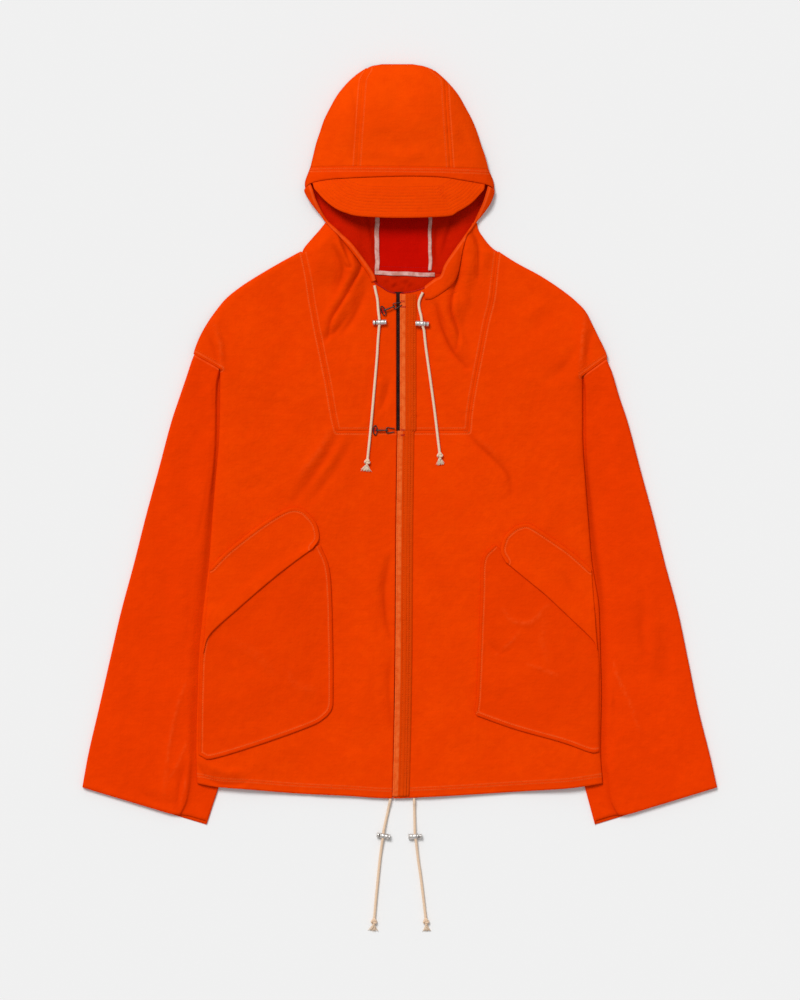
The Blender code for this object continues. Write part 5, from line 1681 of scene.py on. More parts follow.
@dataclass
class Sleeves:
    """Two flattened tubes beside and under the body."""

    wardrobe: Wardrobe
    rings: int = 150
    cloth: WaxedCloth = WaxedCloth("sleeve_cloth", colour=(0.84, 0.046, 0.0004), rows=(1.6,))
    seam_gap: float = 0.9
    taper: float = 0.09
    short: float = 5.0
    tuck: float = 2.5

    def edges(self, side: Side) -> tuple[Array, Array, Array]:
        """Each ring's share of the way down and its outer and inner ends in plan.

        Args:
            side: which side it is on.

        Returns:
            The shares, the outer ends and the inner ends.
        """
        share = np.linspace(0, 1, self.rings)
        outer_y = (SLEEVE_SEAM[side][0].y - 0.3) * (1 - share) + CUFF_Y * share
        inner_y = SLEEVE_INNER[0].y * (1 - share) + SLEEVE_INNER[-1].y * share
        outer = np.stack([side.sign * half_width(SHOULDER, side, outer_y), outer_y], 1)
        inner_x = np.interp(
            -inner_y, [-row.y for row in SLEEVE_INNER],
            [getattr(row, side.value) for row in SLEEVE_INNER]
        )
        return share, outer, np.stack([side.sign * inner_x, inner_y], 1)

    def profile(
        self, loft: float, step: float, crossing: float, length: float
    ) -> tuple[Array, Array, Array]:
        """One ring's section.

        Args:
            loft: its height where it is full.
            step: the width of its step down.
            crossing: how far in the step ends.
            length: the ring's flat width.

        Returns:
            Distances in, heights, and 1 where creases show, from the outer fold over and back.
        """
        tall, flat = loft / 2, SLEEVE_FLAT / 2
        end = crossing - step
        lean = np.linspace(0, 1, 5)[:-1] * math.pi / 2
        distance = [tall * (1 - np.cos(lean)), np.linspace(tall, end, 48)]
        height = [tall + tall * np.sin(lean), np.full(48, loft)]
        free = [np.zeros(4), ramp((distance[1] - tall) / 16.0) * ramp((end - distance[1]) / 7.0)]
        down = np.linspace(0, 1, 6)[1:]
        distance += [end + step * down, np.linspace(crossing, length - flat, 22)[1:]]
        height += [loft + (SLEEVE_FLAT - loft) * ramp(down), np.full(21, SLEEVE_FLAT)]
        bend = np.linspace(0, 1, 7)[1:-1] * math.pi
        distance += [length - flat + flat * np.sin(bend), np.linspace(length - flat, tall, 40)]
        height += [flat + flat * np.cos(bend), np.zeros(40)]
        back = np.linspace(0, 1, 5)[1:-1] * math.pi / 2
        distance.append(tall * (1 - np.sin(back)))
        height.append(tall * (1 - np.cos(back)))
        distance, height = np.concatenate(distance), np.concatenate(height)
        crease = np.concatenate([*free, np.zeros(len(distance) - 52)])
        return distance, height, crease

    def make_one(self, side: Side) -> Made:
        """Builds one sleeve.

        Args:
            side: which side it is on.

        Returns:
            The sleeve.
        """
        sign = side.sign
        top, bottom = SLEEVE_SEAM[side]
        shares, outers, inners = self.edges(side)
        keys = [s.share for s in SLEEVE_STATIONS]
        lofts = read(keys, [s.loft for s in SLEEVE_STATIONS], shares)
        steps = read(keys, [s.step for s in SLEEVE_STATIONS], shares)
        steps = np.minimum(steps, 4.0 + 10.0 * ramp((shares - 0.22) / 0.25))
        grid, free, shades = [], [], []
        for share, outer, inner, loft, step in zip(shares, outers, inners, lofts, steps):
            length = np.hypot(*(inner - outer))
            towards = (inner - outer) / length
            crossing = 60.0
            for _ in range(8):
                wanted = sign * half_width(SLEEVE_STEP, side, outer[1] + towards[1] * crossing)
                crossing += (wanted - outer[0] - towards[0] * crossing) / towards[0]
            crossing = max(float(crossing + self.tuck * ramp(1.0 - share / 0.05)), step + loft)
            distance, height, crease = self.profile(loft, step, crossing, length)
            x = outer[0] + towards[0] * distance
            y = outer[1] + towards[1] * distance
            seam_share = np.clip((np.abs(x) - bottom.x) / (top.x - bottom.x), 0.0, 1.0)
            first = outers[0][1] + towards[1] * distance
            limit = bottom.y + (top.y - bottom.y) * seam_share - self.seam_gap
            near = ramp(1.0 - (bottom.x - np.abs(x)) / 20.0)
            y = y - np.maximum(0.0, first - limit) * near * max(0.0, 1.0 - share / self.taper)
            upper = ramp((height - SLEEVE_FLAT * 0.6) / 1.0)
            ends = ramp((share - 0.93) / 0.07)
            y = y + upper * ends * self.short * ramp(
                (distance - crossing + 20.0) / (length - crossing)
            )
            grid.append(np.stack([x, y, height], 1))
            free.append(crease)
            # Painted shade on the sleeve just beside the body's side edge, strongest partway down
            # the sleeve, kept as negative values.
            contact_shade = np.exp(
                -(((distance - crossing + 1.0) / 4.2) ** 2)
            ) * (height > SLEEVE_FLAT * 0.6)
            deep = (0.4 + 0.6 * ramp((0.62 - share) / 0.2)) * (
                0.25 + 0.75 * ramp((share - 0.15) / 0.12)
            )
            shades.append(-0.55 * contact_shade * deep)
        grid, free = np.array(grid), np.array(free)
        lift, worn = SLEEVE_RELIEF.at(grid[..., 0], grid[..., 1])
        fade = ramp(shares / 0.05)[:, None] * ramp((1.0 - shares) / 0.02)[:, None]
        grid[..., 2] += lift * free * (0.25 + 0.75 * fade)
        inset = to_line(grid[..., 0], grid[..., 1], armhole(side))[0]
        # Crease wear and trough shade where the sleeve is free, plus the painted shade beside the
        # body.
        made = Shell.make(
            f"sleeve_cloth_{side.value}", grid, around=True,
            inset=inset, worn=worn * (free > 0.2) + np.array(shades),
        )
        self.wardrobe.dress(made.obj, self.cloth, f"sleeve_{side.value}")
        return made

    def make(self) -> dict[str, Made]:
        """Builds both."""
        return {f"sleeve_{side.value}": self.make_one(side) for side in Side}


@dataclass
class Hood:
    """The chest pieces with the hood's sides, its back, crown, brim, visor, hems and tapes."""

    wardrobe: Wardrobe
    step: float = 2.2
    chest_cloth: WaxedCloth = WaxedCloth("chest_cloth", rows=(3.4,))
    crown_cloth: WaxedCloth = WaxedCloth(
        "crown_cloth", colour=(0.86, 0.064, 0.0006), deep=(0.70, 0.036, 0.0003), rows=(CROWN_ROW,)
    )
    brim_cloth: WaxedCloth = WaxedCloth("brim_cloth", rows=BRIM_ROWS)
    visor_cloth: WaxedCloth = WaxedCloth(
        "visor_cloth", colour=(0.90, 0.066, 0.0006), deep=(0.74, 0.04, 0.0004), rows=VISOR_ROWS,
        groove=0.16, row_light=0.03,
    )
    hem_cloth: WaxedCloth = WaxedCloth("opening_hem_cloth", rows=(1.8,))
    # The hood's inside is a darker red than its outside: partly the inner face's own colour, partly
    # painted shade of the hood over it.
    inside: WaxedCloth = WaxedCloth(
        "hood_inside_cloth", "hood_inside",
        (0.60, 0.0045, 0.0008), (0.42, 0.002, 0.0004), (0.66, 0.03, 0.01),
    )
    inside_side: WaxedCloth = WaxedCloth(
        "hood_inside_side_cloth", "hood_inside",
        (0.62, 0.013, 0.0008), (0.44, 0.004, 0.0004), (0.7, 0.05, 0.01),
    )
    tape: Woven = Woven("seam_tape_weave", "seam_tape", (0.72, 0.42, 0.37), (0.54, 0.23, 0.18))
    seams: tuple[float, float] = (-29.9, 38.9)
    made: dict[str, Made] = field(default_factory=dict)

    def make_chest(self, side: Side) -> None:
        """The hood's side as it runs on down into the chest.

        Args:
            side: which side it is on.
        """
        sign = side.sign
        y = stops([287.5, HOOD_EDGE + 0.1, 211, 196, CHEST_SEAM], self.step)[:, None]
        hood, chest = half_width(HOOD_OUTLINE, side, y), half_width(CHEST_SIDE, side, y)
        edge = np.where(y > HOOD_EDGE, hood, chest)
        inner = half_width(OPENING, side, y)
        width = edge - inner
        even = width * np.linspace(0, 1, 50)[None]
        steps = np.array(ROLL_STEPS)[None] * np.minimum(1.0, width / ROLL_ROOM)
        rest = steps[:, -1:] + (width - steps[:, -1:]) * np.linspace(0, 1, 43)[None, 1:]
        tight = np.concatenate([steps, rest], 1)
        share = ramp((y - 243.0) / 7.0)
        x = sign * (edge - even * (1 - share) - tight * share)
        y = np.broadcast_to(y, x.shape)
        z, worn = front_under(x, y)
        inset = to_line(x, y, Body.chest_line(side))[0]
        inset = np.where(y > HOOD_EDGE + 1.0, FAR, inset)
        node = f"chest_{side.value}"
        self.made[node] = self.wardrobe.lay(
            node, f"chest_cloth_{side.value}", (x, y), z, self.chest_cloth, inset=inset, worn=worn
        )

    def make_back(self) -> None:
        """The hood's lower layer, in three panels."""
        y = stops([NECK_SEAM, HOOD_EDGE, 289.0, 328.0, 485.0], 4.0)[:, None]
        panels = {
            "hood_back_side_right": (self.seams[0], Side.RIGHT),
            "hood_back_side_left": (self.seams[1], Side.LEFT),
            "hood_back_centre": (0.0, None),
        }
        for name, (seam, side) in panels.items():
            if side is None:
                x = np.linspace(self.seams[0], self.seams[1], 24)[None] * np.ones_like(y)
            else:
                outline = half_width(HOOD_OUTLINE, side, y) - 0.6
                edge = np.where(y < HOOD_EDGE, NECK_HALF, outline)
                start = np.minimum(abs(seam), edge - 4.0)
                x = side.sign * (start + (edge - start) * np.linspace(0, 1, 30)[None])
            rows = np.broadcast_to(y, x.shape)
            # The inside creases lift the cloth, and their troughs paint shade on it.
            lift, worn = INSIDE_RELIEF.at(x, rows)
            shown = ramp((half_at(OPENING, x, rows) - 4.0 - np.abs(x)) / 14.0)
            shown = shown * ramp((300.0 - rows) / 14.0) * ramp((rows - 224.0) / 8.0)
            z = underside(x, rows) + np.clip(lift, 0.0, 2.6) * shown
            cloth = self.inside if side is None else self.inside_side
            self.made[name] = self.wardrobe.lay(
                name, name + "_cloth", (x, rows), z, cloth, worn=worn
            )

    def make_crown(self) -> None:
        """The hood's upper half: two side panels and the middle one."""
        for side in (*Side, None):
            top = {Side.RIGHT: 488.0, Side.LEFT: 485.0, None: HOOD_TOP}[side]
            y = stops([top, CROWN_END], self.step)[:, None]
            if side is None:
                halves = []
                for other in Side:
                    outline = half_width(HOOD_OUTLINE, other, y)
                    seam = np.minimum(half_width(CROWN_SEAM, other, y), outline - 0.5)
                    angle = np.arcsin(seam / outline)
                    halves.append(
                        other.sign * outline * np.sin(angle * np.linspace(1, 0, 20)[None])
                    )
                x = np.concatenate([halves[0], halves[1][:, -2::-1]], 1)
            else:
                outline = half_width(HOOD_OUTLINE, side, y)
                seam = np.minimum(1.0, half_width(CROWN_SEAM, side, y) / outline)
                angle = math.pi / 2 + (np.arcsin(seam) - math.pi / 2) * np.linspace(0, 1, 26)[None]
                x = side.sign * outline * np.sin(angle)
            share = np.clip((CROWN_EASE - y) / (CROWN_EASE - CROWN_END), 0.0, 1.0)
            rows = y + share * (along_places(BRIM_TOP, x) - CROWN_END)
            height, worn = HOOD_RELIEF.at(x, rows)
            half = half_at(HOOD_OUTLINE, x, rows)
            free = ramp((half - np.abs(x)) / 22.0) * ramp((rows - 359.0) / 12.0)
            free = free * ramp((HOOD_TOP - rows) / 22.0)
            z = arch(x, rows) + height * free
            seams = [np.abs(x - other.sign * half_width(CROWN_SEAM, other, rows)) for other in Side]
            node = "crown_centre" if side is None else f"crown_side_{side.value}"
            made = self.wardrobe.lay(
                node, node + "_cloth", (x, rows), z, self.crown_cloth, inset=np.minimum(*seams),
                worn=worn
            )
            self.made[node] = made

    def make_brim(self) -> None:
        """The band across the hood's edge, and the stiff visor sewn under it."""
        upper = [tuple(end) for end in BRIM_TOP]
        lower = [(-122.4, 333.6), (-116, 339), (-102.7, 342.6), (-76, 345.2), (0, 347.8)]
        lower += [(50.7, 347), (81.9, 342.9), (111.8, 337.6), (121.4, 332)]
        ends = [lower[0], (-122.2, 342), upper[0]], [lower[-1], (120.3, 342), upper[-1]]
        plan = patch(lower, upper, *ends, 90, 8)
        x, y = plan[..., 0], plan[..., 1]
        inset = to_line(x, y, smooth_chain(upper))[0]
        puff = 0.7 * np.sin(np.linspace(0, math.pi, plan.shape[0]))[:, None]
        lower_edge = (1.0 - np.linspace(0, 1, plan.shape[0]))[:, None] ** 2
        z = arch(x, y) + puff + 1.3 * lower_edge
        made = self.wardrobe.lay(
            "brim_band", "brim_band_cloth", (x, y), z, self.brim_cloth, inset=inset
        )
        self.made["brim_band"] = made
        top = [(-112.6, 339.6), (-102.7, 342.1), (-76, 344.7), (0, 347.3), (50.7, 346.5)]
        top += [(81.9, 342.4), (109.4, 337.8)]
        ends = [VISOR_EDGE[0], top[0]], [VISOR_EDGE[-1], top[-1]]
        plan = patch(VISOR_EDGE, top, *ends, 90, 18)
        x, y = plan[..., 0], plan[..., 1]
        inset = to_line(x, y, smooth_chain(VISOR_EDGE))[0]
        z = arch(x, y) - 1.5 * ramp(np.linspace(-0.6, 1.0, plan.shape[0]))[:, None]
        made = self.wardrobe.lay(
            "visor", "visor_cloth_piece", (x, y), z, self.visor_cloth, VISOR_CLOTH, inset=inset
        )
        self.made["visor"] = made

    def make_opening_hem(self, side: Side) -> Object:
        """The folded hem round the hood's opening, from the brim down to the neck.

        Args:
            side: which side it is on.

        Returns:
            The hem.
        """
        if side is Side.RIGHT:
            outer = [(-122.2, 332.8), (-123.3, 328), (-114.6, 313), (-101.6, 297), (-96.6, 290)]
            outer += [(-87.8, 280), (-78.2, 270.4), (-63.9, 252.9), (-50.3, 234.5), (-40, 220.2)]
            outer += [(-36.8, 211)]
            inner = [(-116.2, 338), (-113.8, 332), (-109.4, 318), (-101, 300), (-94.1, 289.5)]
            inner += [(-85.4, 281.6), (-75, 272), (-63.9, 261.7), (-49.5, 243.4), (-35.2, 222.7)]
            inner += [(-31.9, 213.5)]
        else:
            outer = [(121.2, 331.2), (122, 327), (117, 313), (105.5, 297), (99.2, 289.5)]
            outer += [(88.9, 275.2), (84.5, 268), (80.1, 248.1), (75.4, 224.3), (71.4, 213.9)]
            outer += [(65.8, 206.7), (53.9, 197.2), (41.9, 190), (32.6, 189.2)]
            inner = [(114.2, 335.3), (113, 330), (108, 314), (101, 298), (97.2, 288.8)]
            inner += [(92.1, 281.6), (81.7, 267.2), (72.9, 255.3), (58.6, 233.8), (53.1, 219.5)]
            inner += [(45.9, 215.5), (37.9, 209.9), (32.4, 205.5)]
        plan = patch(outer, inner, [outer[0], inner[0]], [outer[-1], inner[-1]], 110, 6)
        x, y = plan[..., 0], plan[..., 1]
        share = ramp((y - HEM_LEAVES) / HEM_RISE)
        above = Surface(self.made[f"chest_{side.value}"]).tops(plan, 1.6)
        above = np.where((above > 0.0) & (y < HEM_LEAVES + 1.0), above + LAYER, 0.0)
        z = np.maximum(HEM_CLEAR * (1 - share) + arch(x, y) * share, above)
        for _ in range(14):
            z[:, 1:-1] = np.maximum(z[:, 1:-1], (z[:, :-2] + z[:, 2:]) / 2 - 0.01)
        z = smoothed(z, 3, np.where(above > 0, above, -1.0))
        z += 0.9 * np.sin(np.linspace(0, math.pi, plan.shape[0]))[:, None]
        inset = to_line(x, y, smooth_chain(inner))[0]
        # A lighter line along the hem's folded inner edge.
        lip = np.exp(-((inset / 1.6) ** 2)) * 0.25
        node = f"opening_hem_{side.value}"
        self.made[node] = self.wardrobe.lay(
            node, f"opening_hem_cloth_{side.value}", (x, y), z, self.hem_cloth, inset=inset,
            worn=lip
        )
        return self.made[node].obj

    def make_tapes(self) -> list[Object]:
        """The pale tapes over the seams inside the hood.

        Returns:
            The tapes: right, left and neck.
        """
        panels = [piece for name, piece in self.made.items() if name.startswith("hood_back")]
        back = Surface(*panels, self.made["back_panel"])
        found = []
        for side, (start, end) in {Side.RIGHT: (-32.4, -27.4), Side.LEFT: (37.2, 40.8)}.items():
            y = stops([226.4, 330.0], 2.5)[:, None]
            sway = 0.35 * np.sin(y / 9.0) + 0.25 * np.sin(y / 4.1)
            x = start + (end - start) * np.linspace(0, 1, 6)[None] + sway
            rows = np.broadcast_to(y, x.shape)
            found.append(self.lay_tape(f"seam_tape_{side.value}", x, rows, back))
        x = np.linspace(-32.5, 45.0, 34)[None] * np.ones((6, 1))
        lift = np.linspace(225.6, 220.8, 6)[:, None]
        y = lift - (x + 32.5) * 0.037 + 0.3 * np.sin(x / 6.0)
        found.append(self.lay_tape("seam_tape_neck", x, y, back))
        return found

    def lay_tape(self, node: str, x: Array, y: Array, back: Surface) -> Object:
        """Lays one tape on the hood's inside.

        Args:
            node: the solid that it stands for.
            x: places across, in mm.
            y: places up the plan, in mm.
            back: what it is laid on.

        Returns:
            The tape.
        """
        tops = back.tops(np.stack([x, y], -1), 0.6)
        curve = 0.35 * (1 - np.linspace(-1, 1, x.shape[1]) ** 2)
        z = smoothed(tops, 2, tops) + LAYER + (0.2 if node == "seam_tape_neck" else curve)
        return self.wardrobe.lay(node, node + "_weave", (x, y), z, self.tape, TAPE_CLOTH).obj

    def make(self, back: Made) -> dict[str, Made]:
        """Builds it all.

        Args:
            back: the back panel, which the neck's tape lies over.

        Returns:
            The pieces by the solid that each stands for.
        """
        self.made["back_panel"] = back
        for side in Side:
            self.make_chest(side)
        self.make_back()
        self.make_crown()
        self.make_brim()
        for side in Side:
            hem = self.make_opening_hem(side)
        tapes = self.make_tapes()
        return self.made


@dataclass
class CentreFront:
    """Zip tape under the edges, the light binding and the darker placket."""

    wardrobe: Wardrobe
    placket: WaxedCloth = WaxedCloth(
        "placket_cloth", colour=(0.71, 0.056, 0.0012), deep=(0.58, 0.036, 0.0008),
        worn=(0.80, 0.10, 0.014), rows=PLACKET_ROWS, groove=0.6, row_light=0.1,
    )
    binding: Woven = Woven(
        "binding_weave", "binding_cloth", (0.83, 0.135, 0.022), (0.74, 0.085, 0.008),
        0.72, 0.7, rows=(1.4,),
    )
    zip: Woven = Woven(
        "zip_weave", "zip_tape", (0.035, 0.011, 0.010), (0.016, 0.006, 0.006), 0.75, 0.6
    )
    step: float = 3.0

    def strip(
        self, node: str, y: Array, start: Array, end: Array, surface: Surface, finish: object,
        puff: float
    ) -> Made:
        """A strip that lies on the fronts.

        Args:
            node: the solid that it stands for.
            y: its levels.
            start: its nearer edge's x at each level.
            end: its far edge's x.
            surface: what it lies on.
            finish: its finish.
            puff: how far its middle stands up.

        Returns:
            The piece.
        """
        t = np.linspace(0, 1, 9)[None]
        x = start[:, None] * (1 - t) + end[:, None] * t
        rows = np.broadcast_to(y[:, None], x.shape)
        tops = surface.tops(np.stack([x, rows], -1), 1.0)
        tops = np.where(tops > 0, tops, np.max(tops, axis=1, keepdims=True))
        z = smoothed(tops, 3, tops) + LAYER + puff * (1 - (2 * t - 1) ** 2)
        if node.startswith("placket"):
            z = z - 1.0 * ramp((t - 0.7) / 0.3)
        inset = x - start[:, None]
        return self.wardrobe.lay(node, f"{node}_strip", (x, rows), z, finish, inset=inset)

    def make_zip(self) -> Made:
        """The dark tape beneath the edges.

        Returns:
            The tape.
        """
        y = stops([198, -334], self.step)
        edge = np.where(y > CHEST_SEAM, 0.0, binding_edge(y))
        x = edge[:, None] + np.linspace(-9.0, 5.0, 9)[None]
        rows = np.broadcast_to(y[:, None], x.shape)
        z = underside(x, rows) + CLOTH + LAYER + 0.6 + 0.5 * ramp((x - edge[:, None] + 5.0) / 3.0)
        made = self.wardrobe.lay("zip_tape", "zip_tape_weave", (x, rows), z, self.zip, TAPE_CLOTH)
        return made

    def make(self, surface: Surface) -> dict[str, Made]:
        """Builds the zip's tape and the four strips.

        Args:
            surface: the fronts and chest pieces.

        Returns:
            The strips by the solid that each stands for.
        """
        made = {"zip_tape": self.make_zip()}
        chest = stops([195, CHEST_SEAM + 0.1], self.step)
        body = stops([CHEST_SEAM - 0.1, -457], self.step)
        for part, y, start in (("chest", chest, chest * 0), ("body", body, binding_edge(body))):
            inner, outer = BINDING_WIDTH[part], PLACKET_END[part]
            edges = start + 0.3, start + inner
            binding = self.strip(f"binding_{part}", y, *edges, surface, self.binding, 0.5)
            edges = start + inner + 0.15, start + outer
            placket = self.strip(f"placket_{part}", y, *edges, surface, self.placket, 0.3)
            made[f"binding_{part}"], made[f"placket_{part}"] = binding, placket
        return made


@dataclass
class Pockets:
    """Patch pockets on the fronts with slanting flaps over their mouths."""

    wardrobe: Wardrobe
    pocket_cloth: WaxedCloth = WaxedCloth(
        "pocket_cloth", colour=(0.81, 0.048, 0.0004), rows=(POCKET_ROW,), groove=0.4
    )
    flap_cloth: WaxedCloth = WaxedCloth("flap_cloth", rows=(FLAP_ROW,), groove=0.5)
    made: dict[str, Made] = field(default_factory=dict)

    @staticmethod
    def pocket_edges(side: Side) -> tuple[list, list, list, list]:
        """The pocket's bottom, top, outer and inner edges in plan."""
        if side is Side.RIGHT:
            bottom = [(-261.6, -402), (-256, -405.5), (-241.8, -407.3), (-176.8, -387.4)]
            bottom += [(-114.4, -364.7), (-95.5, -353)]
            inner = [
                bottom[-1], (-88.6, -342.6), (-87.4, -323), (-87.9, -252), (-91.5, -167),
                (-104, -130)
            ]
            top = [(-246, -224), (-172, -170), inner[-1]]
            outer = [bottom[0], (-260.3, -323), (-257.5, -268), top[0]]
        else:
            bottom = [(258, -399), (252, -400), (243.1, -398.2), (209.3, -386.1), (149.1, -369.3)]
            bottom += [(100, -352)]
            inner = [
                bottom[-1], (97.4, -345), (99.8, -323), (104.7, -203.5), (107.1, -150), (122, -130)
            ]
            top = [(247, -216), (180, -178), inner[-1]]
            outer = [bottom[0], (258.3, -323), (257.2, -268), top[0]]
        return bottom, top, outer, inner

    @staticmethod
    def flap_edges(side: Side) -> tuple[list, list, list, list]:
        """The flap's lower, upper, side and inner edges in plan."""
        if side is Side.RIGHT:
            lower = [
                (-255.5, -271), (-247, -246.3), (-213.2, -215.2), (-172, -179.4), (-138.3, -152.8)
            ]
            lower += [(-113, -134.5)]
            upper = [
                (-246, -160.2), (-224.9, -138.5), (-188.9, -109.9), (-159.9, -90.4), (-139.6, -82)
            ]
            upper += [(-123.9, -85.2)]
            end = [lower[-1], (-105.5, -122), (-109.5, -102), upper[-1]]
        else:
            lower = [(255.8, -265.9), (250, -253), (221, -225), (189.8, -195.7), (161.2, -172.2)]
            lower += [(137.5, -152.5)]
            upper = [(248.2, -162.5), (221, -138.5), (189.8, -116.9), (172.9, -106), (163.5, -103)]
            upper += [(150, -106.5)]
            end = [lower[-1], (131, -138), (136.5, -119), upper[-1]]
        return lower, upper, [lower[0], upper[0]], end

    def edge_swell(self, inset: Array, row: float) -> Array:
        """The turned edge's thickness, pinched along its sewn row."""
        turned = 0.9 * (1.0 - ramp((inset - row) / 2.5))
        return turned - 0.5 * np.exp(-(((inset - row) / 1.3) ** 2))

    def make_side(self, side: Side, front: Made) -> None:
        """Builds one pocket and its flap.

        Args:
            side: which side it is on.
            front: the front that they lie on.
        """
        bottom, top, outer, inner = self.pocket_edges(side)
        plan = patch(bottom, top, outer, inner, 58, 88)
        x, y = plan[..., 0], plan[..., 1]
        lines = [bottom, inner, outer] if side is Side.RIGHT else [bottom, inner]
        inset = np.min([to_line(x, y, smooth_chain(line))[0] for line in lines], axis=0)
        height, worn = front_under(x, y)
        z = height + CLOTH + LAYER + self.edge_swell(inset, POCKET_ROW)
        node = f"pocket_{side.value}"
        pocket = self.made[node] = self.wardrobe.lay(
            node, f"pocket_cloth_{side.value}", (x, y), z, self.pocket_cloth, inset=inset, worn=worn
        )
        lower, upper, start, end = self.flap_edges(side)
        plan = patch(lower, upper, start, end, 62, 30)
        x, y = plan[..., 0], plan[..., 1]
        tops = Surface(front, pocket).tops(plan, 2.5)
        tops = np.where(tops > 0, tops, np.median(tops))
        z = smoothed(tops, 14, tops) + LAYER
        t = np.linspace(0, 1, plan.shape[0])[:, None]
        z = z + 0.9 * (1.0 - ramp(t / 0.32))
        inset = np.min([to_line(x, y, smooth_chain(line))[0] for line in (upper, end)], axis=0)
        z = z + self.edge_swell(inset, FLAP_ROW)
        _, worn = front_under(x, y)
        node = f"pocket_flap_{side.value}"
        flap = self.made[node] = self.wardrobe.lay(
            node, f"pocket_flap_cloth_{side.value}", (x, y), z, self.flap_cloth, inset=inset,
            worn=worn
        )

    def make(self, fronts: dict[str, Made]) -> dict[str, Made]:
        """Builds both pockets and flaps on the fronts."""
        for side in Side:
            self.make_side(side, fronts[f"front_{side.value}"])
        return self.made


class Lace(NamedTuple):
    """A cord's route above and below its lock, in plan, and how the lock lies."""

    name: str
    above: tuple[tuple[float, float], ...]
    lock: tuple[float, float]
    tilt: float
    head: float
    below: tuple[tuple[float, float], ...]


LACES = (
    Lace(
        "hood_cord_right",
        ((-33.2, 206.5), (-31.2, 197), (-29.3, 187.8), (-28.3, 175), (-27.2, 165)),
        (-26.6, 158.6), 2.0, -1.0,
        ((-27.4, 150.7), (-28.8, 132), (-29.9, 113.8), (-33.8, 68.2), (-37.7, 24.7), (-42.2, -19)),
    ),
    Lace(
        "hood_cord_left",
        ((29.6, 197.5), (25.6, 189), (24.4, 182.7), (25.2, 175.5), (27.3, 167)),
        (28.8, 156.8), -3.0, 1.0,
        ((31.2, 148.1), (33.8, 124.2), (39.8, 81.2), (45.1, 42.2), (49.1, 8.5), (51.4, -10.5)),
    ),
    Lace(
        "hem_cord_right",
        ((-12.5, -460.4), (-15.6, -476), (-19.2, -492), (-21.4, -502.5)),
        (-21.6, -508.6), -10.0, -1.0,
        ((-23, -515), (-26, -538), (-28.6, -563), (-31.4, -592), (-33.5, -616.5)),
    ),
    Lace(
        "hem_cord_left",
        ((18.3, -459.8), (18.7, -476), (19.0, -490), (19.2, -503.5)),
        (19.6, -509.2), 2.0, 1.0,
        ((20.8, -516), (23.4, -538), (27, -563), (30.6, -592), (33.4, -616.5)),
    ),
)


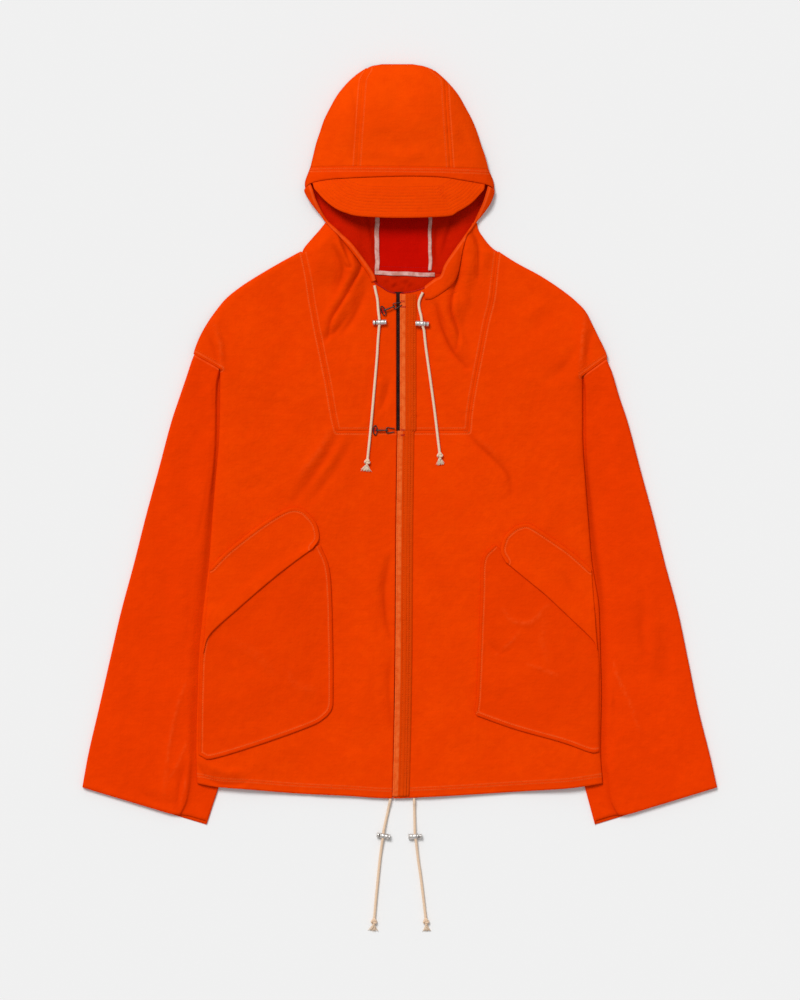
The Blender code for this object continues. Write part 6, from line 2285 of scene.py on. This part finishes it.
@dataclass
class Laces:
    """Four cords, each with its sprung cord lock, a knot and a frayed tail."""

    wardrobe: Wardrobe
    braid: Braid = Braid()
    fibre: Yarn = Yarn("cord_fibre", "cord", (0.92, 0.72, 0.54), 0.9)
    metal: Metal = Metal(
        "cord_lock_metal_finish", "cord_lock_metal", (0.74, 0.71, 0.68), (0.44, 0.38, 0.34), 0.42
    )
    strands: int = 42
    sides: int = 20
    step: float = 0.8

    def radius(self, turn: Array, along: Array) -> Array:
        """The braid's radius: two sets of strands that cross.

        Args:
            turn: places round it, in turns.
            along: places along it, in mm.

        Returns:
            Radii in mm.
        """
        run = along / self.braid.pitch * self.braid.strands / 2
        around = self.braid.strands * turn
        cross = np.sin(math.tau * (around + run)) * np.sin(math.tau * (around - run))
        return CORD / 2 * (0.97 + 0.045 * cross)

    def lock_height(self, lace: Lace) -> float:
        """The height of the lock's axis in the solids."""
        low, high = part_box(f"{lace.name}_lock")
        return (low[2] + high[2]) / 2 / MM

    def route(self, lace: Lace, surface: Surface) -> Array:
        """The cord's line through its lock, in mm.

        Args:
            lace: the cord's sizes and places.
            surface: the cloth beneath it.

        Returns:
            The line's points.
        """
        height = self.lock_height(lace)
        chains = []
        for points in (lace.above, lace.below):
            plan = spaced(smooth_chain(points, 10), 2.0)
            z = np.array([surface.top(p[0], p[1], CORD / 2) for p in plan]) + CORD / 2 + LAYER
            for _ in range(12):
                z[1:-1] = np.maximum(z[1:-1], (z[:-2] + z[2:]) / 2 - 0.02)
            chains.append(np.column_stack([plan, z]))
        for chain in chains:
            near = ramp(1.0 - np.linalg.norm(chain[:, :2] - np.array(lace.lock), axis=1) / 26.0)
            chain[:, 2] = chain[:, 2] * (1 - near) + height * near
        line = np.concatenate([chains[0], [[*lace.lock, height]], chains[1]])
        if lace.name.startswith("hem"):
            line[:4, 2] = np.linspace(3.2, line[3, 2], 4)
        return spaced(smooth_chain(line, 3), self.step)

    def make_lock(self, lace: Lace) -> tuple[Object, Object]:
        """The lock's turned barrel and its sprung plunger.

        Args:
            lace: the cord's sizes and places.

        Returns:
            The barrel and the plunger.
        """
        lean = math.radians(lace.tilt)
        axis = np.array([lace.head * math.cos(lean), lace.head * math.sin(lean), 0.0])
        middle = np.array(
            [*lace.lock, self.lock_height(lace)]
        ) - axis * (HEAD_LENGTH + NECK_LENGTH) / 2
        r, half, bore = BARREL_RADIUS, BARREL_LENGTH / 2, BARREL_BORE
        barrel = [
            (0.0, half - 8.5), (bore, half - 8.5), (bore, half - 0.1), (bore + 0.1, half),
            (r - 0.45, half),
            (r - 0.12, half - 0.12), (r, half - 0.45), (r, half - 1.1), (r - 0.25, half - 1.3),
            (r - 0.25, half - 1.7), (r, half - 1.9), (r, 1.6), (r - 0.18, 1.2), (r - 0.18, -1.2),
            (r, -1.6),
            (r, -half + 2.3), (r - 0.4, -half + 1.95), (r - 0.4, -half + 1.55), (r, -half + 1.2),
            (r, -half + 0.45), (r - 0.12, -half + 0.12), (r - 0.45, -half), (1.2, -half),
            (1.0, -half + 0.25),
            (0.0, -half + 0.3),
        ]
        lock = lathe(f"{lace.name}_barrel", barrel, middle, axis, 44)
        self.wardrobe.dress(lock, self.metal, f"{lace.name}_lock")
        head, reach = HEAD_RADIUS, HEAD_LENGTH
        plunger = [
            (0.0, reach - 0.25), (1.3, reach - 0.2), (1.6, reach), (head - 0.7, reach),
            (head - 0.2, reach - 0.2),
            (head, reach - 0.7), (head, 2.2), (head - 0.22, 2.0), (head - 0.22, 1.7), (head, 1.5),
            (head, 0.5),
            (head - 0.15, 0.12), (head - 0.5, 0.0), (2.1, 0.0), (2.1, -1.5), (1.9, -1.7),
            (0.0, -1.7),
        ]
        button = lathe(
            f"{lace.name}_button", plunger, middle + axis * (half + NECK_LENGTH), axis, 44
        )
        plunger_node, body = f"{lace.name}_lock_plunger", f"{lace.name}_plunger"
        self.wardrobe.dress(button, self.metal, plunger_node, body=body)
        return lock, button

    def make_knot(self, lace: Lace, end: Array, run: Array, surface: Surface) -> list[Object]:
        """The overhand knot and the frayed tail beyond it.

        Args:
            lace: the cord's sizes and places.
            end: where the cord ends.
            run: the way it runs there.
            surface: the cloth beneath it.

        Returns:
            The knot and the tail.
        """
        run = np.array([run[0], run[1], 0.0]) / np.hypot(run[0], run[1])
        side = np.array([-run[1], run[0], 0.0])
        up = np.array([0.0, 0.0, 1.0])
        centre = end + run * 3.1
        low = surface.top(centre[0], centre[1], 2.0)
        centre[2] = low + 3.1
        t = np.linspace(0.3, 0.3 + math.tau * 0.985, 90)
        loop = np.stack(
            [np.sin(t) + 2 * np.sin(2 * t), np.cos(t) - 2 * np.cos(2 * t), -np.sin(3 * t)], 1
        )
        path = centre + loop[:, :1] * side + loop[:, 1:2] * 0.92 * run + loop[:, 2:3] * 1.25 * up
        core = []
        for share in np.linspace(0, 1, 12):
            place = end - run * 0.6 + run * share * 9.5
            place[2] = end[2] + (centre[2] - end[2]) * ramp(share * 2) - 0.5 * share
            core.append(place)
        turns = [path, np.array(core)]
        knot = sweep(f"{lace.name}_knot_turns", turns, lambda turn, along: 1.5 + turn * 0, 12)
        self.wardrobe.dress(knot, self.braid, f"{lace.name}_knot")
        return [knot, self.make_tail(lace, core[-1] - run * 1.5, run, side, surface)]

    def make_tail(
        self, lace: Lace, start: Array, run: Array, side: Array, surface: Surface
    ) -> Object:
        """Frayed strands that flare from the knot, fused where they start.

        Args:
            lace: the cord's sizes and places.
            start: where the strands start.
            run: the way they run.
            side: the way across them.
            surface: the cloth beneath them.

        Returns:
            The strands.
        """
        rng = np.random.default_rng(100 + sum(map(ord, lace.name)))
        paths = []
        for _ in range(self.strands):
            aside, lift = rng.normal(0, 0.62), rng.normal(0, 0.6)
            length = rng.uniform(6.4, 9.0)
            bend = rng.normal(0, 0.14)
            t = np.linspace(0, 1, 8)[:, None]
            spread_out = aside * (t * 0.9 + 0.1) * length * 0.62 + bend * length * t * t
            base = start + run * t * length + side * (spread_out + rng.normal(0, 0.35))
            floor = np.array([surface.top(p[0], p[1]) for p in base])
            rest = floor + 0.5 + abs(lift) * 1.6 - start[2]
            z = start[2] + lift * 0.8 * (1 - t[:, 0]) + rest * t[:, 0]
            base[:, 2] = np.maximum(z, floor + 0.3)
            paths.append(base)
        name = f"{lace.name}_tail_strands"
        tail = sweep(name, paths, lambda turn, along: 0.46 - 0.018 * along + turn * 0, 4)
        return self.wardrobe.dress(tail, self.fibre)

    def make_one(self, lace: Lace, surface: Surface) -> None:
        """Builds one cord.

        Args:
            lace: the cord's sizes and places.
            surface: the cloth beneath it.
        """
        path = self.route(lace, surface)
        lock, button = self.make_lock(lace)
        cord = sweep(f"{lace.name}_braid", [path], self.radius, self.sides)
        self.wardrobe.dress(cord, self.braid, f"{lace.name}_above", f"{lace.name}_below")
        knot = self.make_knot(lace, path[-1], path[-1] - path[-4], surface)

    def make(self, surface: Surface) -> None:
        """Builds all four on what they lie on."""
        for lace in LACES:
            self.make_one(lace, surface)


class Clasp(NamedTuple):
    """A fastened clasp: where its eye is, and how far it is turned."""

    name: str
    x: float
    y: float
    turn: float


@dataclass
class Clasps:
    """Two fastened clasps of dark wire: a sewn eye, a hooked rod and a link to the placket."""

    wardrobe: Wardrobe
    clasps: tuple[Clasp, ...] = (
        Clasp("clasp_neck", -21.6, 173.6, 22.0), Clasp("clasp_chest", -32.1, 18.4, 0.0),
    )
    metal: Metal = Metal(
        "clasp_dark_metal", "clasp_metal", (0.075, 0.05, 0.042), (0.02, 0.014, 0.012), 0.42
    )
    eye_half: tuple[float, float] = (2.6, 6.2)
    eye_wire: float = 1.4
    rod: float = 2.2
    rod_start: float = 0.4
    rod_length: float = 16.5
    link_wire: float = 1.3
    link_start: float = 14.5
    link: tuple[tuple[float, float], ...] = (
        (10.5, 2.0), (5.0, 3.0), (1.2, 3.6), (0.0, 2.2), (-0.3, 0.0), (0.0, -2.2), (1.2, -3.6),
        (5.0, -3.0), (10.5, -2.0),
    )

    def place(self, clasp: Clasp, points: Sequence[Sequence[float]], base: float) -> Array:
        """Points in the clasp's own frame as places in the coat's, in mm.

        Args:
            clasp: the clasp's place.
            points: points in mm.
            base: the height that it lies at, in mm.

        Returns:
            The places.
        """
        points = np.asarray(points, float)
        turn = math.radians(clasp.turn)
        x = clasp.x + points[:, 0] * math.cos(turn) - points[:, 1] * math.sin(turn)
        y = clasp.y + points[:, 0] * math.sin(turn) + points[:, 1] * math.cos(turn)
        return np.stack([x, y, base + points[:, 2]], 1)

    def make_one(self, clasp: Clasp) -> None:
        """Builds one clasp.

        Args:
            clasp: the clasp's place.
        """
        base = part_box(f"{clasp.name}_eye")[0][2] / MM
        angle = np.linspace(0, math.tau, 41)[:-1]
        level = self.eye_wire / 2
        wide, tall = self.eye_half
        eye = np.stack([wide * np.cos(angle), tall * np.sin(angle), level + 0 * angle], 1)
        route = [self.place(clasp, eye, base)]
        piece = sweep(f"{clasp.name}_eye_wire", route, lambda turn, run: level + turn * 0, 14, True)
        self.wardrobe.dress(piece, self.metal, f"{clasp.name}_eye")
        over = self.eye_wire + 0.3 + self.rod / 2
        along = np.linspace(0, self.rod_length, 34)
        rod = np.stack([self.rod_start + along, 0 * along, over + 0 * along], 1)

        def taper(turn: Array, run: Array) -> Array:
            """The rod's radius: a rounded nose, a waist and a collar."""
            nose = np.sqrt(np.clip(run / 1.1, 0.04, 1.0))
            end = np.sqrt(np.clip((self.rod_length - run) / 1.1, 0.04, 1.0))
            collar = 0.82 + 0.18 * (np.abs(run - 10.5) > 2.2)
            return self.rod / 2 * nose * end * collar + turn * 0

        piece = sweep(f"{clasp.name}_rod_turned", [self.place(clasp, rod, base)], taper, 18)
        self.wardrobe.dress(piece, self.metal, f"{clasp.name}_rod")
        thick = self.link_wire / 2
        link = smooth_chain([(self.link_start + x, y, thick + 0.05) for x, y in self.link], 5)
        route = [self.place(clasp, link, base)]
        piece = sweep(f"{clasp.name}_link_wire", route, lambda turn, run: thick + turn * 0, 12)
        self.wardrobe.dress(piece, self.metal, f"{clasp.name}_link")

    def make(self) -> None:
        """Builds both."""
        for clasp in self.clasps:
            self.make_one(clasp)


class Thread(Enum):
    """Which thread a row is sewn in."""

    ORANGE = "orange"
    MATCH = "match"
    PALE = "pale"
    RED = "red"
    TEETH = "teeth"


@dataclass
class Sewing:
    """Rows of stitches and zip teeth, repeated along lines by Geometry Nodes."""

    wardrobe: Wardrobe
    threads: dict[Thread, object] = field(default_factory=lambda: {
        Thread.ORANGE: Yarn("thread_orange", "orange_cloth", (0.93, 0.098, 0.004)),
        Thread.MATCH: Yarn("thread_match", "orange_cloth", (0.90, 0.075, 0.002)),
        Thread.PALE: Yarn("thread_pale", "orange_cloth", (0.95, 0.135, 0.016)),
        Thread.RED: Yarn("thread_red", "orange_cloth", (0.60, 0.016, 0.022)),
        Thread.TEETH: Metal(
            "zip_teeth_metal", "zip_tape", (0.10, 0.06, 0.05), (0.03, 0.02, 0.02), 0.4
        ),
    })
    rows: list[tuple[Thread, Array, float, float]] = field(default_factory=list)
    group: bpy.types.NodeTree = None

    def row(
        self, thread: Thread, line: Sequence, surface: Surface, pitch: float = 3.0,
        size: float = 0.42
    ) -> None:
        """Lays a row on a surface.

        Args:
            thread: what it is sewn in.
            line: its route in plan, in mm.
            surface: what it is sewn into.
            pitch: from one stitch to the next.
            size: half the thread's width.
        """
        plan = spaced(np.asarray(line, float), min(3.0, pitch))
        tops = surface.tops(plan)
        points = np.column_stack([plan, tops + size * 0.35])
        for run in np.split(points, np.flatnonzero(np.diff(tops > 0)) + 1):
            if len(run) > 1 and run[0, 2] > size * 0.35:
                self.rows.append((thread, run, pitch, size))

    def nodes(self) -> bpy.types.NodeTree:
        """The node group: a small capsule at each step along each line.

        Returns:
            The node group.
        """
        group = bpy.data.node_groups.new("stitches", "GeometryNodeTree")
        group.interface.new_socket("Geometry", in_out="INPUT", socket_type="NodeSocketGeometry")
        for name in ("Pitch", "Length", "Radius"):
            group.interface.new_socket(name, in_out="INPUT", socket_type="NodeSocketFloat")
        group.interface.new_socket("Thread", in_out="INPUT", socket_type="NodeSocketMaterial")
        group.interface.new_socket("Geometry", in_out="OUTPUT", socket_type="NodeSocketGeometry")
        new, link = group.nodes.new, group.links.new
        given, out = new("NodeGroupInput"), new("NodeGroupOutput")
        curve, resample = new("GeometryNodeMeshToCurve"), new("GeometryNodeResampleCurve")
        resample.mode = "LENGTH"
        link(given.outputs["Geometry"], curve.inputs["Mesh"])
        link(curve.outputs["Curve"], resample.inputs["Curve"])
        link(given.outputs["Pitch"], resample.inputs["Length"])
        ball, size = new("GeometryNodeMeshUVSphere"), new("ShaderNodeCombineXYZ")
        for name, value in (("Segments", 6), ("Rings", 4), ("Radius", 1.0)):
            ball.inputs[name].default_value = value
        link(given.outputs["Length"], size.inputs["X"])
        link(given.outputs["Radius"], size.inputs["Y"])
        link(given.outputs["Radius"], size.inputs["Z"])
        tangent, turn = new("GeometryNodeInputTangent"), new("FunctionNodeAlignRotationToVector")
        turn.axis = "X"
        link(tangent.outputs["Tangent"], turn.inputs["Vector"])
        place, real = new("GeometryNodeInstanceOnPoints"), new("GeometryNodeRealizeInstances")
        link(resample.outputs["Curve"], place.inputs["Points"])
        link(ball.outputs["Mesh"], place.inputs["Instance"])
        link(turn.outputs["Rotation"], place.inputs["Rotation"])
        link(size.outputs["Vector"], place.inputs["Scale"])
        link(place.outputs["Instances"], real.inputs["Geometry"])
        paint = new("GeometryNodeSetMaterial")
        link(real.outputs["Geometry"], paint.inputs["Geometry"])
        link(given.outputs["Thread"], paint.inputs["Material"])
        link(paint.outputs["Geometry"], out.inputs["Geometry"])
        return group

    def repeat(self, thread: Thread, pitch: float, size: float, lines: Sequence[Array]) -> Object:
        """One object of all the stitches of one kind.

        Args:
            thread: which thread.
            pitch: the step between stitches, in mm.
            size: a stitch's radius, in mm.
            lines: the rows' points.

        Returns:
            The object.
        """
        name = f"sewing_{thread.value}_{round(pitch * 10)}_{round(size * 100)}"
        verts, edges = [], []
        for line in lines:
            edges += [(len(verts) + i, len(verts) + i + 1) for i in range(len(line) - 1)]
            verts += (line * MM).tolist()
        mesh = bpy.data.meshes.new(name + "_lines")
        mesh.from_pydata(verts, edges, [])
        carrier = bpy.data.objects.new(name + "_lines", mesh)
        bpy.context.scene.collection.objects.link(carrier)
        modifier = carrier.modifiers.new("stitches", "NODES")
        modifier.node_group = self.group
        share = 0.5 if thread is Thread.TEETH else 0.9
        wanted = {
            "Pitch": pitch * MM,
            "Length": pitch * share / 2 * MM,
            "Radius": size * MM,
            "Thread": self.wardrobe.of(self.threads[thread]),
        }
        for item in self.group.interface.items_tree:
            if item.in_out == "INPUT" and item.name in wanted:
                modifier[item.identifier] = wanted[item.name]
        bpy.context.view_layer.update()
        graph = bpy.context.evaluated_depsgraph_get()
        plain = bpy.data.meshes.new_from_object(carrier.evaluated_get(graph))
        bpy.data.objects.remove(carrier, do_unlink=True)
        obj = bpy.data.objects.new(name, plain)
        bpy.context.scene.collection.objects.link(obj)
        plain.shade_smooth()
        LOG.info("%s: %d faces", name, len(plain.polygons))
        return self.wardrobe.dress(obj, self.threads[thread])

    def make(self) -> None:
        """Builds every row that was laid."""
        self.group = self.nodes()
        kinds: dict[tuple[Thread, float, float], list[Array]] = {}
        for thread, line, pitch, size in self.rows:
            kinds.setdefault((thread, pitch, size), []).append(line)
        for (thread, pitch, size), lines in kinds.items():
            self.repeat(thread, pitch, size, lines)


@dataclass
class Seams:
    """Where the coat is sewn, laid on the built pieces."""

    sewing: Sewing
    made: dict[str, Made]

    def on(self, *names: str) -> Surface:
        """The surface of some pieces."""
        return Surface(*(self.made[name] for name in names))

    def chest(self, side: Side) -> None:
        """Two rows round the chest piece.

        Args:
            side: which side it is on.
        """
        line = spaced(Body.chest_line(side), 3.0)
        hand = -side.sign
        top = self.on(f"front_{side.value}", f"chest_{side.value}")
        self.sewing.row(Thread.PALE, beside(line, -3.6 * hand), top)
        self.sewing.row(Thread.ORANGE, beside(line, 3.4 * hand)[2:], top)

    def armhole(self, side: Side) -> None:
        """Two rows just above the sleeve's seam."""
        for offset in (2.4, 6.2):
            line = beside(armhole(side), -offset * side.sign)
            self.sewing.row(Thread.ORANGE, line, self.on(f"front_{side.value}"))

    def hems(self, side: Side) -> None:
        """Two rows above the hem.

        Args:
            side: which side it is on.
        """
        x = np.linspace(side.sign * 258, side.sign * 14, 60)
        y = along_places(HEM, x)
        for row in HEM_ROWS:
            line = np.stack([x, y + row], 1)
            self.sewing.row(Thread.ORANGE, line, self.on(f"front_{side.value}"))

    def pocket(self, side: Side) -> None:
        """One pale row round each pocket and along each flap.

        Args:
            side: which side it is on.
        """
        bottom, _, outer, inner = Pockets.pocket_edges(side)
        hand = 1.0 if side is Side.RIGHT else -1.0
        corner = smooth_chain([*bottom, *inner[1:]], 6)
        top = self.on(f"pocket_{side.value}")
        self.sewing.row(Thread.PALE, beside(corner, POCKET_ROW * hand)[3:-2], top)
        if side is Side.RIGHT:
            self.sewing.row(Thread.PALE, beside(smooth_chain(outer), -POCKET_ROW)[2:-1], top)
        _, upper, _, end = Pockets.flap_edges(side)
        line = beside(smooth_chain([*upper, *end[::-1][1:]], 6), -FLAP_ROW * hand)
        self.sewing.row(Thread.PALE, line[1:-2], self.on(f"pocket_flap_{side.value}"))

    def hood(self) -> None:
        """Rows beside the crown's seams, on the brim and round the visor."""
        crown = self.on("crown_centre", "crown_side_right", "crown_side_left")
        for side in Side:
            y = np.linspace(484, 362, 40)
            line = np.stack([side.sign * half_width(CROWN_SEAM, side, y), y], 1)
            for offset in (-CROWN_ROW, CROWN_ROW):
                self.sewing.row(Thread.ORANGE, beside(line, offset), crown)
        x = np.linspace(-113, 112, 60)
        for offset in BRIM_ROWS:
            line = np.stack([x, along_places(BRIM_TOP, x) - offset], 1)
            self.sewing.row(Thread.ORANGE, line, self.on("brim_band"))
        for offset in VISOR_ROWS:
            row = beside(smooth_chain(VISOR_EDGE), offset)
            row = row[(row[:, 1] < 344.0) & (np.abs(row[:, 0]) < 104.0)]
            self.sewing.row(Thread.MATCH, row, self.on("visor"), 3.0, 0.26)

    def middle(self) -> None:
        """Rows along the placket and binding, the bartacks and the zip's teeth."""
        chest, body = self.on("placket_chest"), self.on("placket_body")
        for row in PLACKET_ROWS:
            x = BINDING_WIDTH["chest"] + 0.15 + row
            self.sewing.row(Thread.ORANGE, [(x, 194), (x, 18)], chest)
            y = np.linspace(17, -432, 60)
            x = binding_edge(y) + BINDING_WIDTH["body"] + 0.15 + row
            self.sewing.row(Thread.ORANGE, np.stack([x, y], 1), body)
        self.sewing.row(Thread.PALE, [(1.7, 194), (1.7, 18)], self.on("binding_chest"))
        y = np.linspace(17, -455, 60)
        self.sewing.row(
            Thread.PALE, np.stack([binding_edge(y) + 1.7, y], 1), self.on("binding_body")
        )
        strips = self.on("binding_chest", "placket_chest", "binding_body", "placket_body")
        for x, y in ((3.3, 185.9), (4.7, 178.7), (3.3, 18.9), (3.3, 12.1)):
            for shift in (-0.9, 0.0, 0.9):
                self.sewing.row(
                    Thread.RED, [(x - 2.0, y + shift), (x + 2.0, y + shift)], strips, 1.2, 0.42
                )
        self.sewing.row(Thread.TEETH, [(-2.4, 189), (-2.4, 20)], self.on("zip_tape"), 2.2, 0.55)
        for clasp in Clasps.clasps:
            for shift in (-2.2, -1.1, 0.0, 1.1, 2.2):
                ends = [
                    (clasp.x - 3.6, clasp.y + shift - 0.6), (clasp.x + 1.8, clasp.y + shift + 0.6)
                ]
                self.sewing.row(Thread.RED, ends, self.on("chest_right"), 1.3, 0.75)
        tops = ("front", "chest", "binding", "placket")
        everything = self.on(*[name for name in self.made if name.startswith(tops)])
        for x, y in ((85.6, 17.5), (-90.5, -445.0)):
            self.sewing.row(Thread.PALE, [(x - 2.5, y), (x + 2.5, y)], everything, 1.0, 0.4)

    def neck(self) -> None:
        """Red overcast stitches along the neck's raw edge, and a row above the neck's tape."""
        pieces = self.on("chest_right", "chest_left")
        for side in Side:
            y = np.linspace(196.3, 213, 40)
            x = side.sign * (half_width(OPENING, side, y) + 1.0)
            self.sewing.row(Thread.RED, np.stack([x, y], 1), pieces, 1.2, 1.05)
        inside = self.on("hood_back_centre")
        self.sewing.row(Thread.RED, [(-26, 231.4), (36, 229.6)], inside, 3.0, 0.3)

    def make(self) -> None:
        """Lays every row and builds them."""
        for side in Side:
            self.chest(side)
            self.armhole(side)
            self.hems(side)
            self.pocket(side)
        self.hood()
        self.middle()
        self.neck()
        self.sewing.make()


@dataclass
class Studio:
    """Camera, floor and soft light."""

    wardrobe: Wardrobe
    centre_y: float = -0.07215
    distance: float = 10.0
    lens: float = 276.92
    sensor: float = 36.0
    sky: float = 0.46
    sun: float = 2.19
    sun_tilt: float = 37.0
    sun_turn: float = 28.0
    sun_angle: float = 24.0
    floor_drop: float = 0.0003

    def make_camera(self) -> None:
        """A camera that looks straight down, as the photograph's did."""
        data = bpy.data.cameras.new("camera")
        data.sensor_fit = "VERTICAL"
        data.sensor_height = self.sensor
        data.lens = self.lens
        data.clip_end = 30.0
        camera = bpy.data.objects.new("camera", data)
        camera.location = (0.0, self.centre_y, self.distance)
        bpy.context.scene.collection.objects.link(camera)
        bpy.context.scene.camera = camera

    def make(self) -> None:
        """Builds the floor, the sky's even light and the sun from beyond the hood."""
        size = 6.0
        corners = [(-size, -size), (size, -size), (size, size), (-size, size)]
        places = [(x, y, -self.floor_drop) for x, y in corners]
        floor = mesh_object("floor", np.array(places), [(0, 1, 2, 3)], False)
        floor.data.materials.append(self.wardrobe.of(Paper()))
        world = bpy.data.worlds.new("studio")
        world.use_nodes = True
        background = world.node_tree.nodes["Background"]
        background.inputs["Color"].default_value = (1.0, 1.0, 1.0, 1.0)
        background.inputs["Strength"].default_value = self.sky
        bpy.context.scene.world = world
        data = bpy.data.lights.new("key", "SUN")
        data.energy = self.sun
        data.angle = math.radians(self.sun_angle)
        sun = bpy.data.objects.new("key", data)
        sun.rotation_euler = (math.radians(-self.sun_tilt), 0.0, math.radians(self.sun_turn))
        bpy.context.scene.collection.objects.link(sun)
        view = bpy.context.scene.view_settings
        view.view_transform = "Standard"
        view.look = "None"


def main() -> None:
    """Builds the whole scene."""
    logging.basicConfig(level=logging.INFO, format="%(message)s")
    wardrobe = Wardrobe()
    studio = Studio(wardrobe)
    studio.make_camera()
    body = Body(wardrobe).make()
    sleeves = Sleeves(wardrobe).make()
    hood = Hood(wardrobe).make(body["back_panel"])
    upper = {**body, **hood}
    fronts = Surface(*(upper[name] for name in upper if name.startswith(("front", "chest"))))
    strips = CentreFront(wardrobe).make(fronts)
    pockets = Pockets(wardrobe).make(body)
    made = {**body, **sleeves, **hood, **strips, **pockets}
    tops = ("front", "chest", "binding", "placket", "opening_hem")
    Laces(wardrobe).make(Surface(*(made[name] for name in made if name.startswith(tops))))
    Clasps(wardrobe).make()
    Seams(Sewing(wardrobe), made).make()
    studio.make()


if __name__ == "__main__":
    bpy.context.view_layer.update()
    main()
